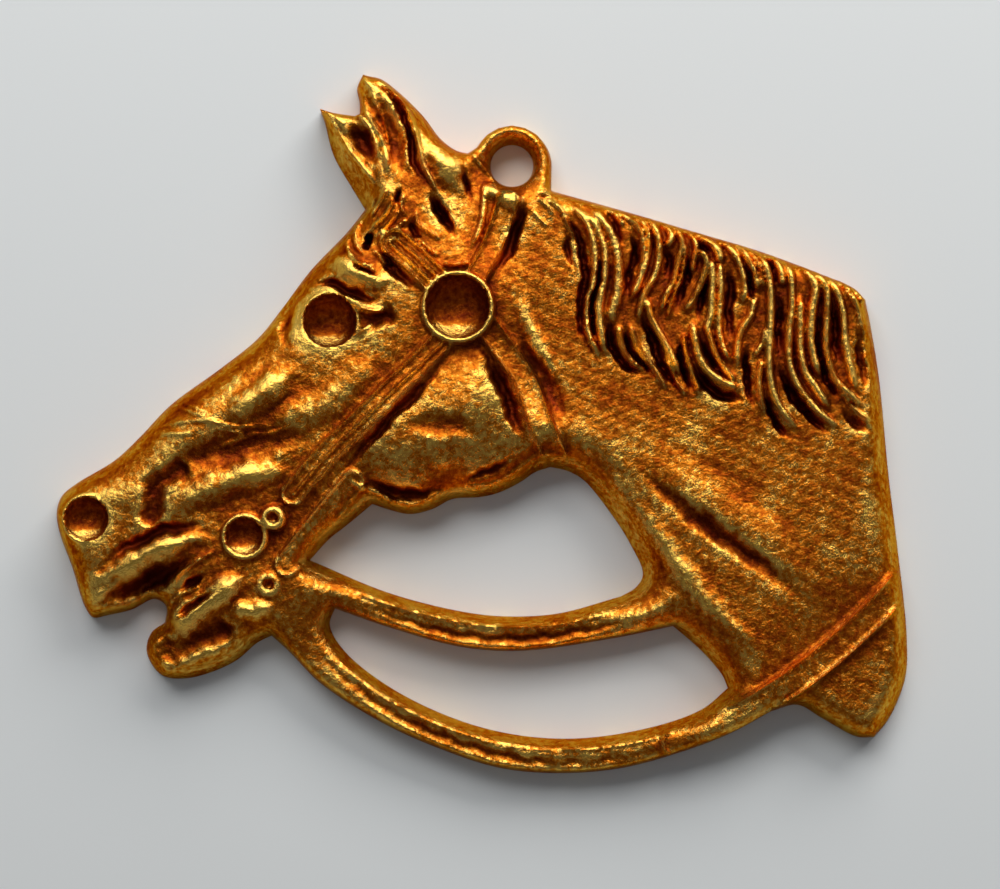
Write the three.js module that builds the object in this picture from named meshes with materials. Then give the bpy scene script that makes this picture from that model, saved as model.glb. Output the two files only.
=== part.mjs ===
// Horse brass: one brass casting of a horse's head, neck and mane in openwork,
// with a bridle, two reins and a small hanging ring cast on at the poll.
//
// Millimetres, +Z up. The brass lies on its flat back (Z = 0) with its relief
// facing up, its muzzle towards -X, its mane towards +X and its ring towards +Y.
// The origin is at the middle of the back's bounding rectangle.

import * as THREE from 'three';

// ---------------------------------------------------------------- driving sizes

const RING_CENTRE = [3.0, 25.8];
const RING_RADIUS = 4.0;
const RING_BORE = 2.15; // bore radius at the back of the casting
const ROSETTE = { at: [-2.15, 10.8], rim: 3.05, cup: 2.6, top: 6.9, depth: 1.5 };
const EYE = { at: [-14.95, 9.4], rim: 2.6, cup: 2.3, top: 5.9, depth: 1.7 };
const BIT_BOSS = { at: [-23.35, -11.8], rim: 2.0, cup: 1.6, top: 5.9, depth: 1.0 };
const UPPER_BIT_RING = { at: [-20.25, -9.6], rim: 0.95, cup: 0.6, top: 5.9, depth: 0.6 };
const LOWER_BIT_RING = { at: [-20.95, -16.2], rim: 0.9, cup: 0.55, top: 4.9, depth: 0.6 };
const NOSTRIL = { at: [-38.65, -9.8], rim: 2.2, cup: 1.75, top: 4.9, depth: 1.5 };

const EDGE_STEP = 1.05; // spacing of the points along every edge
const RELIEF_POINTS = 3750; // points that carry the relief inside the edges
const SURVEY_STEP = 0.36; // spacing at which the relief is measured for placing them
const CLOSEST_POINTS = 0.42; // no two relief points are nearer than this
const EDGE_MARGIN = 0.6; // relief points keep this far from the edges
const THINNEST = 1.1; // least thickness of metal anywhere

// ---------------------------------------------------------------- edges of the casting
// Each edge is a chain of stretches. A stretch is a smooth curve through its
// points, drawn on the flat back, and "draft" is how far its wall leans in
// between the back and the face.

const OUTLINE = [
  {
    name: 'near ear, back edge',
    draft: 0.7,
    points: [
      [-12.05, 35.0], [-10.3, 34.7], [-8.5, 33.4], [-5.95, 30.9], [-4.2, 28.6], [-2.6, 27.4], [-1.45, 27.1],
    ],
  },
  { name: 'hanging ring', draft: 0.55, arc: { centre: RING_CENTRE, radius: RING_RADIUS, from: 152, to: 2 } },
  {
    name: 'crest of the mane',
    draft: 0.8,
    points: [
      [6.95, 23.3], [9.85, 22.5], [15.85, 20.8], [21.85, 19.0], [27.85, 17.2], [33.85, 14.95], [37.2, 13.5],
      [38.45, 12.2],
    ],
  },
  {
    name: 'cut of the neck',
    draft: 1.3,
    points: [
      [38.45, 12.2], [38.85, 10.3], [39.75, 4.5], [40.65, -5.5], [41.45, -12.5], [42.3, -21.5], [42.1, -25.5],
      [40.45, -29.5], [38.95, -31.35],
    ],
  },
  {
    name: 'foot of the neck',
    draft: 0.7,
    points: [[38.95, -31.35], [37.25, -31.3], [33.85, -29.5], [31.35, -28.15], [28.75, -28.8]],
  },
  {
    name: 'lower rein, outer edge',
    draft: 0.55,
    points: [
      [28.75, -28.8], [24.75, -30.95], [19.85, -32.8], [13.85, -34.4], [7.85, -34.9], [1.85, -34.4],
      [-4.15, -32.5], [-9.95, -29.9], [-16.05, -26.0], [-19.25, -22.8], [-20.95, -21.3],
    ],
  },
  {
    name: 'chin',
    draft: 0.8,
    points: [
      [-20.95, -21.3], [-22.35, -22.0], [-24.65, -23.9], [-29.15, -25.5], [-31.85, -25.2], [-33.35, -22.9],
      [-32.9, -21.0], [-31.55, -20.0],
    ],
  },
  {
    name: 'mouth',
    draft: 0.5,
    points: [[-31.55, -20.0], [-31.45, -18.4], [-32.6, -17.65], [-34.85, -18.7], [-37.35, -19.3]],
  },
  {
    name: 'muzzle, nose and forehead',
    draft: 0.8,
    points: [
      [-37.35, -19.3], [-38.7, -19.5], [-39.55, -18.4], [-40.85, -14.5], [-42.15, -11.0], [-42.45, -9.0],
      [-41.95, -7.4], [-40.55, -6.2], [-36.65, -3.8], [-34.2, -1.5], [-31.15, 1.7], [-26.15, 5.4],
      [-22.45, 8.4], [-20.05, 11.4], [-17.15, 15.3], [-13.55, 19.1], [-11.75, 21.4],
    ],
  },
  {
    name: 'far ear, outer edge',
    draft: 1.2,
    points: [[-11.75, 21.4], [-13.15, 23.7], [-14.95, 26.9], [-15.85, 30.2], [-16.25, 31.3]],
  },
  { name: 'far ear, upper edge', draft: 0.4, points: [[-16.25, 31.3], [-15.15, 31.2], [-12.35, 30.7]] },
  {
    name: 'near ear, front edge',
    draft: 0.4,
    points: [[-12.35, 30.7], [-12.35, 32.3], [-12.6, 33.7], [-12.05, 35.0]],
  },
];

const UPPER_OPENING = [
  {
    name: 'behind the chin',
    draft: 0.7,
    points: [[-17.15, -13.8], [-15.35, -11.8], [-13.35, -10.2], [-10.95, -8.2]],
  },
  {
    name: 'under the jaw',
    draft: 0.7,
    points: [
      [-10.95, -8.2], [-9.15, -8.8], [-7.15, -9.2], [-4.95, -8.7], [-2.95, -7.7], [-0.15, -7.5], [1.85, -7.0],
      [3.85, -6.0], [5.35, -5.0], [6.85, -4.5],
    ],
  },
  {
    name: 'throat',
    draft: 0.9,
    points: [
      [6.85, -4.5], [8.55, -4.9], [10.15, -5.8], [12.85, -9.1], [14.7, -12.0], [16.05, -15.2], [15.35, -16.5],
      [13.85, -17.4],
    ],
  },
  {
    name: 'upper rein, upper edge',
    draft: 0.95,
    points: [[13.85, -17.4], [7.85, -19.05], [3.35, -19.4], [-1.15, -19.05], [-9.15, -17.1], [-17.15, -13.8]],
  },
];

const LOWER_OPENING = [
  {
    name: 'upper rein, lower edge',
    draft: 0.35,
    points: [[-14.65, -18.6], [-9.15, -20.5], [-2.15, -22.4], [3.85, -22.8], [12.85, -21.6], [19.05, -20.35]],
  },
  {
    name: 'front of the neck',
    draft: 0.8,
    points: [[19.05, -20.35], [21.85, -22.8], [23.9, -25.2], [24.45, -26.5]],
  },
  {
    name: 'lower rein, inner edge',
    draft: 0.8,
    points: [
      [24.45, -26.5], [21.85, -28.6], [15.85, -30.6], [7.85, -31.5], [-0.15, -30.35], [-8.15, -27.0],
      [-13.6, -22.9], [-15.15, -20.2], [-14.65, -18.6],
    ],
  },
];

const RING_HOLE = [
  { name: 'bore', draft: 0.4, arc: { centre: RING_CENTRE, radius: RING_BORE, from: 0, to: -360 } },
];

// ---------------------------------------------------------------- height of the relief
// "top" is the height of the face well inside the edge, "edge" the height
// where the wall ends, and "roll" how wide the rounding between them is.
// "reach" is how far the place has its say.

const FORM = [
  { name: 'muzzle', at: [-38.0, -11.0], top: 4.7, edge: 2.2, roll: 3.0, reach: 4 },
  { name: 'upper lip', at: [-35.5, -16.0], top: 4.3, edge: 2.4, roll: 2.0, reach: 3 },
  { name: 'nose', at: [-31.0, -4.0], top: 5.2, edge: 2.2, roll: 4.6, reach: 5 },
  { name: 'bridge of the nose', at: [-24.0, 2.0], top: 5.5, edge: 2.2, roll: 5.0, reach: 5 },
  { name: 'forehead', at: [-16.5, 12.5], top: 5.7, edge: 2.4, roll: 4.5, reach: 5 },
  { name: 'temple', at: [-7.5, 11.0], top: 6.0, edge: 3.0, roll: 4.0, reach: 5 },
  { name: 'cheek', at: [-5.0, 1.0], top: 5.7, edge: 2.2, roll: 5.5, reach: 5 },
  { name: 'back of the jaw', at: [3.0, -2.5], top: 5.2, edge: 2.2, roll: 4.0, reach: 4 },
  { name: 'corner of the mouth', at: [-25.0, -10.0], top: 4.9, edge: 2.4, roll: 3.0, reach: 4 },
  { name: 'chin', at: [-28.0, -21.0], top: 4.5, edge: 1.9, roll: 3.2, reach: 3.5 },
  { name: 'bit', at: [-19.5, -12.0], top: 4.5, edge: 2.6, roll: 1.2, reach: 3 },
  { name: 'forelock', at: [-9.5, 18.5], top: 5.2, edge: 2.8, roll: 2.4, reach: 3.5 },
  { name: 'near ear', at: [-6.8, 27.5], top: 4.9, edge: 2.4, roll: 2.0, reach: 4 },
  { name: 'far ear', at: [-13.3, 27.6], top: 3.9, edge: 2.0, roll: 1.4, reach: 3 },
  { name: 'hanging ring', at: RING_CENTRE, top: 3.2, edge: 2.5, roll: 0.9, reach: 3 },
  { name: 'poll', at: [3.5, 19.5], top: 4.5, edge: 2.8, roll: 1.6, reach: 3 },
  { name: 'neck behind the jaw', at: [8.5, 5.0], top: 4.4, edge: 2.0, roll: 3.0, reach: 5 },
  { name: 'mane', at: [22.0, 11.0], top: 4.5, edge: 3.0, roll: 1.4, reach: 7 },
  { name: 'mane at the withers', at: [35.5, 7.0], top: 4.3, edge: 3.1, roll: 1.0, reach: 4 },
  { name: 'throat side of the neck', at: [15.5, -8.5], top: 4.6, edge: 1.9, roll: 3.4, reach: 5 },
  { name: 'middle of the neck', at: [28.0, -10.0], top: 4.3, edge: 2.4, roll: 2.4, reach: 6 },
  { name: 'front of the neck', at: [23.5, -20.0], top: 4.2, edge: 2.0, roll: 3.2, reach: 4 },
  { name: 'foot of the neck', at: [37.5, -26.0], top: 3.7, edge: 2.6, roll: 1.4, reach: 5 },
  { name: 'upper rein', at: [-5.0, -19.8], top: 3.1, edge: 2.7, roll: 0.6, reach: 4 },
  { name: 'upper rein, far end', at: [8.0, -20.8], top: 3.1, edge: 2.7, roll: 0.6, reach: 4 },
  { name: 'lower rein, near end', at: [-13.0, -25.5], top: 3.1, edge: 2.6, roll: 0.7, reach: 4 },
  { name: 'lower rein', at: [-1.0, -32.0], top: 3.1, edge: 2.6, roll: 0.7, reach: 5 },
  { name: 'lower rein at the neck', at: [24.6, -29.4], top: 4.0, edge: 3.0, roll: 0.9, reach: 2.5 },
  { name: 'lower rein, far end', at: [14.0, -32.5], top: 3.1, edge: 2.6, roll: 0.7, reach: 5 },
];

// ---------------------------------------------------------------- carving
// A stroke follows a smooth curve. Straps, rims, swellings and locks of hair
// rise by "height" over their "half" width, and hollows sink by it.

const STRAPS = [
  {
    name: 'cheek strap',
    half: 1.25,
    height: 0.6,
    points: [[-3.6, 7.6], [-7.15, 4.6], [-10.1, 1.4], [-13.15, -1.4], [-16.0, -3.9], [-18.7, -7.2]],
  },
  {
    name: 'strap to the rein',
    half: 1.2,
    height: 0.4,
    points: [[-12.6, -6.2], [-15.15, -9.3], [-17.35, -12.0], [-19.0, -14.2]],
  },
  {
    name: 'throat latch',
    half: 0.95,
    height: 0.55,
    points: [[0.5, 9.0], [2.75, 5.75], [4.75, 2.5], [6.65, -0.8], [7.2, -3.2]],
  },
  { name: 'brow band', half: 1.25, height: 0.6, points: [[-8.6, 17.4], [-6.6, 15.6], [-4.4, 13.2]] },
  {
    name: 'crown strap',
    half: 1.15,
    height: 0.5,
    points: [[2.6, 21.6], [1.4, 18.6], [0.5, 16.0], [-0.7, 13.6]],
  },
  {
    name: 'lower rein across the neck',
    half: 1.45,
    height: 0.75,
    points: [[19.0, -31.6], [24.4, -29.3], [28.9, -26.7], [33.95, -23.0], [38.0, -19.3], [42.2, -15.0]],
    fade: 0.18,
  },
];

const RIMS = [
  {
    name: 'near ear, rim',
    half: 0.75,
    height: 0.9,
    points: [[-11.6, 34.4], [-9.2, 32.9], [-7.3, 30.6], [-6.6, 26.5], [-5.2, 23.3], [-2.9, 18.9]],
  },
  { name: 'near ear, fold', half: 0.5, height: 0.6, points: [[-11.3, 32.8], [-10.0, 30.5], [-8.9, 28.0]] },
  {
    name: 'near ear, front rim',
    half: 0.55,
    height: 0.7,
    points: [[-12.0, 32.6], [-11.4, 30.2], [-9.8, 27.4], [-9.0, 24.0]],
  },
  {
    name: 'far ear, rim',
    half: 0.6,
    height: 0.7,
    points: [[-15.7, 30.9], [-14.1, 28.6], [-12.6, 25.8], [-10.3, 23.0]],
  },
  {
    name: 'far ear, upper rim',
    half: 0.5,
    height: 0.5,
    points: [[-14.8, 30.7], [-12.3, 30.3], [-10.4, 28.2], [-9.5, 25.0]],
  },
  { name: 'upper lid', half: 0.45, height: 0.5, points: [[-12.3, 11.7], [-10.4, 10.9], [-9.4, 10.8]] },
  { name: 'lower lid', half: 0.45, height: 0.4, points: [[-12.6, 8.1], [-11.2, 9.2], [-10.3, 10.4]] },
  { name: 'lower lip', half: 0.7, height: 0.6, points: [[-31.1, -19.8], [-29.6, -17.9], [-27.0, -16.0]] },
  {
    name: 'edge of the jaw',
    half: 0.55,
    height: 0.6,
    points: [[-13.4, -5.6], [-11.0, -7.2], [-7.0, -8.2], [-3.2, -6.9], [1.6, -6.2], [5.0, -4.4], [8.0, -4.1]],
  },
];

// Swellings and hollows die away softly all round.
const SWELLINGS = [
  {
    name: 'brow',
    half: 1.9,
    height: 1.1,
    points: [[-17.4, 13.6], [-14.6, 15.0], [-12.2, 14.0], [-8.6, 13.6]],
  },
  {
    name: 'bridge of the nose',
    half: 3.2,
    height: 0.5,
    points: [[-35.0, -5.8], [-30.0, -1.8], [-23.5, 3.6], [-19.5, 7.6]],
  },
  { name: 'cheek bone', half: 2.3, height: 1.0, points: [[-26.6, -0.6], [-21.9, 2.2], [-17.6, 5.4]] },
  {
    name: 'end of the cheek bone',
    half: 1.9,
    height: 0.7,
    points: [[-17.6, 0.6], [-15.2, 1.2], [-12.8, 3.4]],
  },
  {
    name: 'cheek muscle',
    half: 2.0,
    height: 1.0,
    points: [[-31.0, -9.8], [-27.4, -7.5], [-23.2, -5.7], [-17.6, -5.2]],
  },
  { name: 'cheek', half: 6.5, height: 0.9, points: [[-7.6, -1.0], [-4.4, 0.6], [-1.0, 1.6]] },
  {
    name: 'upper lip',
    half: 1.5,
    height: 1.1,
    points: [[-39.6, -17.0], [-35.4, -14.9], [-31.5, -12.5], [-25.6, -11.0]],
  },
  { name: 'chin', half: 2.4, height: 0.9, points: [[-29.6, -21.0], [-26.6, -19.4], [-23.6, -18.4]] },
  {
    name: 'edge of the throat',
    half: 1.6,
    height: 0.5,
    points: [[7.6, -2.6], [12.9, -6.2], [16.9, -11.4], [22.4, -18.0], [29.0, -24.4]],
  },
  {
    name: 'shoulder muscle',
    half: 3.4,
    height: 0.5,
    points: [[15.5, -2.0], [21.0, -7.2], [27.6, -12.0], [33.5, -18.0]],
  },
  { name: 'windpipe', half: 1.3, height: 0.5, points: [[4.0, 16.0], [5.6, 11.5], [6.7, 7.6], [7.6, 1.6]] },
  {
    name: 'back of the near ear',
    half: 2.2,
    height: 0.7,
    points: [[-6.2, 29.0], [-4.6, 26.0], [-2.0, 22.6], [-0.8, 19.6]],
  },
];

const HOLLOWS = [
  {
    name: 'hollow of the near ear',
    half: 1.9,
    height: 2.0,
    points: [[-11.6, 34.0], [-9.2, 31.6], [-7.9, 28.0], [-7.3, 24.6], [-5.4, 20.9], [-3.2, 18.0]],
  },
  {
    name: 'hollow of the far ear',
    half: 1.5,
    height: 1.5,
    points: [[-14.8, 30.6], [-12.4, 28.4], [-10.9, 25.4], [-10.0, 23.4]],
  },
  {
    name: 'eye socket',
    half: 1.1,
    height: 1.1,
    points: [[-18.8, 6.6], [-19.4, 9.2], [-18.7, 12.0], [-15.8, 13.2], [-12.9, 12.4], [-11.6, 11.2]],
  },
  {
    name: 'under the cheek bone',
    half: 2.2,
    height: 0.8,
    points: [[-31.6, -5.8], [-28.2, -4.0], [-22.8, -2.6], [-15.8, -1.6]],
  },
  {
    name: 'behind the nostril',
    half: 1.4,
    height: 1.2,
    points: [[-31.2, -4.6], [-31.8, -7.6], [-31.6, -10.6]],
  },
  {
    name: 'mouth',
    half: 1.2,
    height: 2.2,
    points: [[-33.0, -18.8], [-30.4, -16.0], [-28.4, -14.2], [-24.8, -13.0]],
  },
  {
    name: 'under the upper lip',
    half: 1.1,
    height: 1.0,
    points: [[-39.6, -18.6], [-35.0, -16.9], [-31.4, -14.9], [-28.6, -13.4]],
  },
  {
    name: 'under the chin',
    half: 2.0,
    height: 1.2,
    points: [[-31.6, -24.0], [-28.0, -23.4], [-24.4, -21.6], [-21.6, -19.4]],
  },
  {
    name: 'muscle of the neck',
    half: 1.3,
    height: 0.9,
    points: [[14.6, -4.4], [19.9, -8.8], [25.9, -13.2], [32.4, -18.2]],
  },
  { name: 'behind the crown strap', half: 1.3, height: 0.9, points: [[4.9, 21.8], [3.6, 17.8], [1.8, 13.0]] },
  {
    name: 'under the brow band',
    half: 1.1,
    height: 0.8,
    points: [[-10.2, 16.4], [-8.0, 14.4], [-5.4, 12.0]],
  },
  {
    name: 'behind the throat latch',
    half: 1.4,
    height: 0.7,
    points: [[2.2, 10.0], [4.6, 6.4], [6.8, 3.0], [8.4, -1.0]],
  },
  { name: 'pit of the near ear', half: 1.1, height: 0.9, points: [[-5.2, 22.4], [-3.9, 20.4], [-3.0, 18.6]] },
  {
    name: 'pit of the forelock',
    half: 0.9,
    height: 1.1,
    points: [[-11.6, 19.8], [-11.4, 17.2], [-10.6, 15.4]],
  },
];

const FORELOCK = [
  {
    name: 'outer strand',
    half: 0.5,
    height: 0.7,
    points: [[-8.9, 22.2], [-12.0, 19.4], [-12.9, 16.6], [-10.4, 14.7]],
  },
  {
    name: 'inner strand',
    half: 0.5,
    height: 0.7,
    points: [[-8.5, 21.7], [-10.6, 19.0], [-11.5, 17.0], [-9.9, 15.6]],
  },
  { name: 'short strand', half: 0.5, height: 0.6, points: [[-7.6, 22.0], [-8.9, 19.6], [-9.8, 17.6]] },
  { name: 'strand to the band', half: 0.5, height: 0.6, points: [[-6.9, 22.2], [-7.0, 20.2], [-4.5, 17.9]] },
];

const MANE_RISE = 1.15;
const MANE = [
  { half: 0.8, points: [[6.6, 22.4], [9.9, 19.3], [10.6, 14.5], [9.8, 10.0], [11.7, 5.4]] },
  { half: 0.9, points: [[8.6, 22.2], [12.1, 18.4], [11.9, 13.0], [11.3, 9.4], [12.9, 6.0]] },
  { half: 1.0, points: [[10.9, 21.6], [14.4, 17.6], [13.9, 13.3], [12.6, 8.6], [15.4, 5.2]] },
  { half: 0.95, points: [[13.1, 21.2], [16.1, 17.4], [15.2, 12.7], [15.1, 8.0], [17.8, 3.5]] },
  { half: 1.0, points: [[14.9, 20.8], [17.6, 17.0], [16.5, 12.3], [16.8, 7.5], [19.6, 2.5]] },
  { half: 1.0, points: [[16.9, 20.2], [19.4, 16.7], [18.4, 12.0], [18.0, 7.5], [20.9, 2.0]] },
  { half: 0.95, points: [[18.7, 19.6], [21.0, 16.1], [19.6, 11.3], [19.6, 7.0], [21.6, 3.0]] },
  { half: 0.8, points: [[20.8, 19.0], [22.5, 15.7], [21.2, 12.0], [19.5, 10.4]] },
  { half: 1.0, points: [[21.7, 18.6], [23.5, 14.0], [21.9, 8.6], [22.2, 4.9], [25.3, 3.1]] },
  { half: 0.95, points: [[23.2, 18.2], [25.1, 14.2], [24.2, 9.0], [24.0, 5.8], [25.4, 3.6]] },
  { half: 0.95, points: [[24.8, 17.8], [26.7, 13.5], [25.6, 8.0], [25.4, 4.0], [27.0, 0.7]] },
  { half: 1.0, points: [[26.3, 17.4], [28.5, 12.5], [27.7, 6.5], [27.8, 2.0], [30.1, -1.5]] },
  { half: 1.0, points: [[28.0, 16.8], [30.3, 12.5], [29.7, 6.5], [30.9, 1.9], [33.8, -1.5]] },
  { half: 1.0, points: [[29.8, 16.2], [31.9, 11.7], [31.7, 5.7], [33.5, 1.7], [36.6, -1.5]] },
  { half: 1.0, points: [[31.7, 15.4], [33.8, 11.3], [33.7, 6.5], [34.9, 3.3], [37.5, 1.4]] },
  { half: 0.95, points: [[33.4, 14.8], [35.8, 10.5], [36.1, 5.7], [38.8, 1.0]] },
  { half: 0.85, points: [[35.1, 14.2], [37.5, 9.7], [38.2, 4.8], [38.9, 1.5]] },
  { half: 0.7, points: [[36.7, 13.4], [38.0, 11.2], [38.3, 9.0]] },
];

// ---------------------------------------------------------------- curves

function smoothCurve(points) {
  return new THREE.CatmullRomCurve3(
    points.map(([x, y]) => new THREE.Vector3(x, y, 0)),
    false,
    'centripetal',
  );
}

function arcPoints({ centre, radius, from, to }, step) {
  const sweep = THREE.MathUtils.degToRad(to - from);
  const count = Math.max(8, Math.round((Math.abs(sweep) * radius) / step));
  const points = [];
  for (let i = 0; i <= count; i += 1) {
    const angle = THREE.MathUtils.degToRad(from) + (sweep * i) / count;
    points.push([centre[0] + radius * Math.cos(angle), centre[1] + radius * Math.sin(angle)]);
  }
  return points;
}

function stretchPoints(stretch, step) {
  if (stretch.arc) {
    return arcPoints(stretch.arc, step * 0.7);
  }
  const curve = smoothCurve(stretch.points);
  const count = Math.max(2, Math.round(curve.getLength() / step));
  return curve.getSpacedPoints(count).map((p) => [p.x, p.y]);
}

// A closed edge on the flat back: [{ x, y, draft }], without a repeated last point.
function closedEdge(stretches) {
  const edge = [];
  for (const stretch of stretches) {
    for (const [x, y] of stretchPoints(stretch, EDGE_STEP)) {
      const last = edge[edge.length - 1];
      if (!last || Math.hypot(x - last.x, y - last.y) > 0.25) {
        edge.push({ x, y, draft: stretch.draft });
      }
    }
  }
  const first = edge[0];
  const last = edge[edge.length - 1];
  if (Math.hypot(first.x - last.x, first.y - last.y) < 0.25) {
    edge.pop();
  }
  return edge;
}

// ---------------------------------------------------------------- plane geometry

function segmentDistance(x, y, ax, ay, bx, by) {
  const dx = bx - ax;
  const dy = by - ay;
  const t = THREE.MathUtils.clamp(((x - ax) * dx + (y - ay) * dy) / (dx * dx + dy * dy), 0, 1);
  return { distance: Math.hypot(x - ax - t * dx, y - ay - t * dy), t };
}

function loopDistance(loop, x, y) {
  let nearest = Infinity;
  for (let i = 0; i < loop.length; i += 1) {
    const a = loop[i];
    const b = loop[(i + 1) % loop.length];
    nearest = Math.min(nearest, segmentDistance(x, y, a.x, a.y, b.x, b.y).distance);
  }
  return nearest;
}

function insideLoop(loop, x, y) {
  let inside = false;
  for (let i = 0; i < loop.length; i += 1) {
    const a = loop[i];
    const b = loop[(i + 1) % loop.length];
    if (a.y > y !== b.y > y && x < a.x + ((y - a.y) * (b.x - a.x)) / (b.y - a.y)) {
      inside = !inside;
    }
  }
  return inside;
}

// ---------------------------------------------------------------- drafted walls
// The face's edge is the back's edge moved into the metal by the draft. Where
// the metal is narrow, at the tips of the ears, the draft shrinks to fit.

const DRAFT_SLOPE = 0.35; // how fast the draft may change along an edge
const NARROW_SHARE = 0.32; // largest share of the local width that a draft takes

function inwardNormals(edge, side) {
  return edge.map((point, i) => {
    const before = edge[(i + edge.length - 1) % edge.length];
    const after = edge[(i + 1) % edge.length];
    const length = Math.hypot(after.x - before.x, after.y - before.y);
    return [(side * (after.y - before.y)) / length, (-side * (after.x - before.x)) / length];
  });
}

function draftThatFits(edge, edges, normals, i) {
  const { x, y, draft } = edge[i];
  let width = 0.4;
  while (width < draft / NARROW_SHARE) {
    const px = x + normals[i][0] * width;
    const py = y + normals[i][1] * width;
    const nearest = Math.min(...edges.map((other) => loopDistance(other, px, py)));
    if (nearest < width * 0.55) {
      break;
    }
    width += 0.2;
  }
  return Math.min(draft, width * NARROW_SHARE);
}

function faceEdge(edge, edges, side) {
  const normals = inwardNormals(edge, side);
  const drafts = edge.map((point, i) => draftThatFits(edge, edges, normals, i));
  const n = edge.length;
  for (let pass = 0; pass < 2; pass += 1) {
    for (let k = 0; k < 2 * n; k += 1) {
      const forward = pass === 0;
      const i = forward ? k % n : (2 * n - 1 - k) % n;
      const j = forward ? (i + n - 1) % n : (i + 1) % n;
      const gap = Math.hypot(edge[i].x - edge[j].x, edge[i].y - edge[j].y);
      drafts[i] = Math.min(drafts[i], drafts[j] + DRAFT_SLOPE * gap);
    }
  }
  return edge.map(({ x, y }, i) => ({ x: x + normals[i][0] * drafts[i], y: y + normals[i][1] * drafts[i] }));
}

const backEdges = [OUTLINE, UPPER_OPENING, LOWER_OPENING, RING_HOLE].map(closedEdge);
// The outline runs clockwise and so do the openings, so their metal lies on opposite sides.
const signedArea = (loop) => loop.reduce((sum, a, i) => {
  const b = loop[(i + 1) % loop.length];
  return sum + (a.x * b.y - b.x * a.y) / 2;
}, 0);
const faceEdges = backEdges.map((edge, i) => {
  const clockwise = signedArea(edge) < 0;
  const outer = i === 0;
  return faceEdge(edge, backEdges, clockwise === outer ? 1 : -1);
});

function insideFace(x, y) {
  return insideLoop(faceEdges[0], x, y) && !faceEdges.slice(1).some((hole) => insideLoop(hole, x, y));
}

function edgeDistance(x, y) {
  return Math.min(...faceEdges.map((edge) => loopDistance(edge, x, y)));
}

// ---------------------------------------------------------------- the relief

const smooth = THREE.MathUtils.smoothstep;

function makeStroke({ points, half, height, fade }, profile) {
  const curve = smoothCurve(points);
  const path = curve.getSpacedPoints(Math.max(4, Math.round(curve.getLength() / 0.8)));
  const box = new THREE.Box3().setFromPoints(path).expandByScalar(half * 1.3);
  return (x, y) => {
    if (x < box.min.x || x > box.max.x || y < box.min.y || y > box.max.y) {
      return 0;
    }
    let nearest = Infinity;
    let along = 0;
    for (let i = 0; i + 1 < path.length; i += 1) {
      const a = path[i];
      const b = path[i + 1];
      const { distance, t } = segmentDistance(x, y, a.x, a.y, b.x, b.y);
      if (distance < nearest) {
        nearest = distance;
        along = (i + t) / (path.length - 1);
      }
    }
    const ends = fade > 0 ? smooth(along, 0, fade) * smooth(1 - along, 0, fade) : 1;
    const width = half * (0.55 + 0.45 * ends);
    return height * ends * profile(nearest / width);
  };
}

const round = (r) => (r < 1.3 ? Math.max(0, 1 - r * r * (1.3 - 0.3 * r * r)) : 0);
const bell = (r) => (r < 1 ? (1 - r * r) ** 2 : 0);
const flat = (r) => 1 - smooth(r, 0.78, 1.12) - 0.22 * (1 - smooth(r, 0.0, 0.5));

const straps = STRAPS.map((stroke) => makeStroke({ fade: 0, ...stroke }, flat));
const rims = RIMS.map((stroke) => makeStroke({ fade: 0.15, ...stroke }, round));
const swellings = SWELLINGS.map((stroke) => makeStroke({ fade: 0.35, ...stroke }, bell));
const hollows = HOLLOWS.map((stroke) => makeStroke({ fade: 0.3, ...stroke }, bell));
const forelock = FORELOCK.map((stroke) => makeStroke({ fade: 0.15, ...stroke }, round));
const mane = MANE.map((lock) => makeStroke({ ...lock, height: MANE_RISE, fade: 0.1 }, round));

const highest = (strokes, x, y) => strokes.reduce((top, stroke) => Math.max(top, stroke(x, y)), 0);

function bodyHeight(x, y) {
  let weights = 0;
  let top = 0;
  let edge = 0;
  let roll = 0;
  for (const place of FORM) {
    const r2 = ((x - place.at[0]) ** 2 + (y - place.at[1]) ** 2) / place.reach ** 2;
    const weight = 1 / (0.05 + r2) ** 2;
    weights += weight;
    top += weight * place.top;
    edge += weight * place.edge;
    roll += weight * place.roll;
  }
  const inward = Math.min(1, (edgeDistance(x, y) * weights) / roll);
  return (edge + (top - edge) * Math.sqrt(1 - (1 - inward) ** 2)) / weights;
}

// A round raised rim with a hollow bowl inside it.
function sinkCup(z, x, y, cup) {
  const r = Math.hypot(x - cup.at[0], y - cup.at[1]);
  const lip = cup.rim - cup.cup;
  const outer = cup.rim + 1.6 * lip;
  if (r > outer) {
    return z;
  }
  if (r < cup.cup) {
    const bowl = cup.top - cup.depth * (1 - (r / cup.cup) ** 2) ** 0.6;
    return Math.min(bowl, cup.top);
  }
  const blend = 1 - smooth(r, cup.rim, outer);
  return THREE.MathUtils.lerp(z, Math.max(cup.top, z), blend);
}

function reliefHeight(x, y) {
  let z = bodyHeight(x, y);
  z += highest(swellings, x, y);
  z -= highest(hollows, x, y);
  z += highest(rims, x, y);
  z += highest(forelock, x, y);
  z += highest(mane, x, y);
  z += highest(straps, x, y);
  for (const cup of [ROSETTE, EYE, BIT_BOSS, UPPER_BIT_RING, LOWER_BIT_RING, NOSTRIL]) {
    z = sinkCup(z, x, y, cup);
  }
  return Math.max(z, THINNEST);
}

// ---------------------------------------------------------------- triangulation
// A Delaunay triangulation that takes its points one at a time. It starts as one
// triangle with three far corners, which are its first three points.

const FAR_CORNERS = 3;

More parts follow.
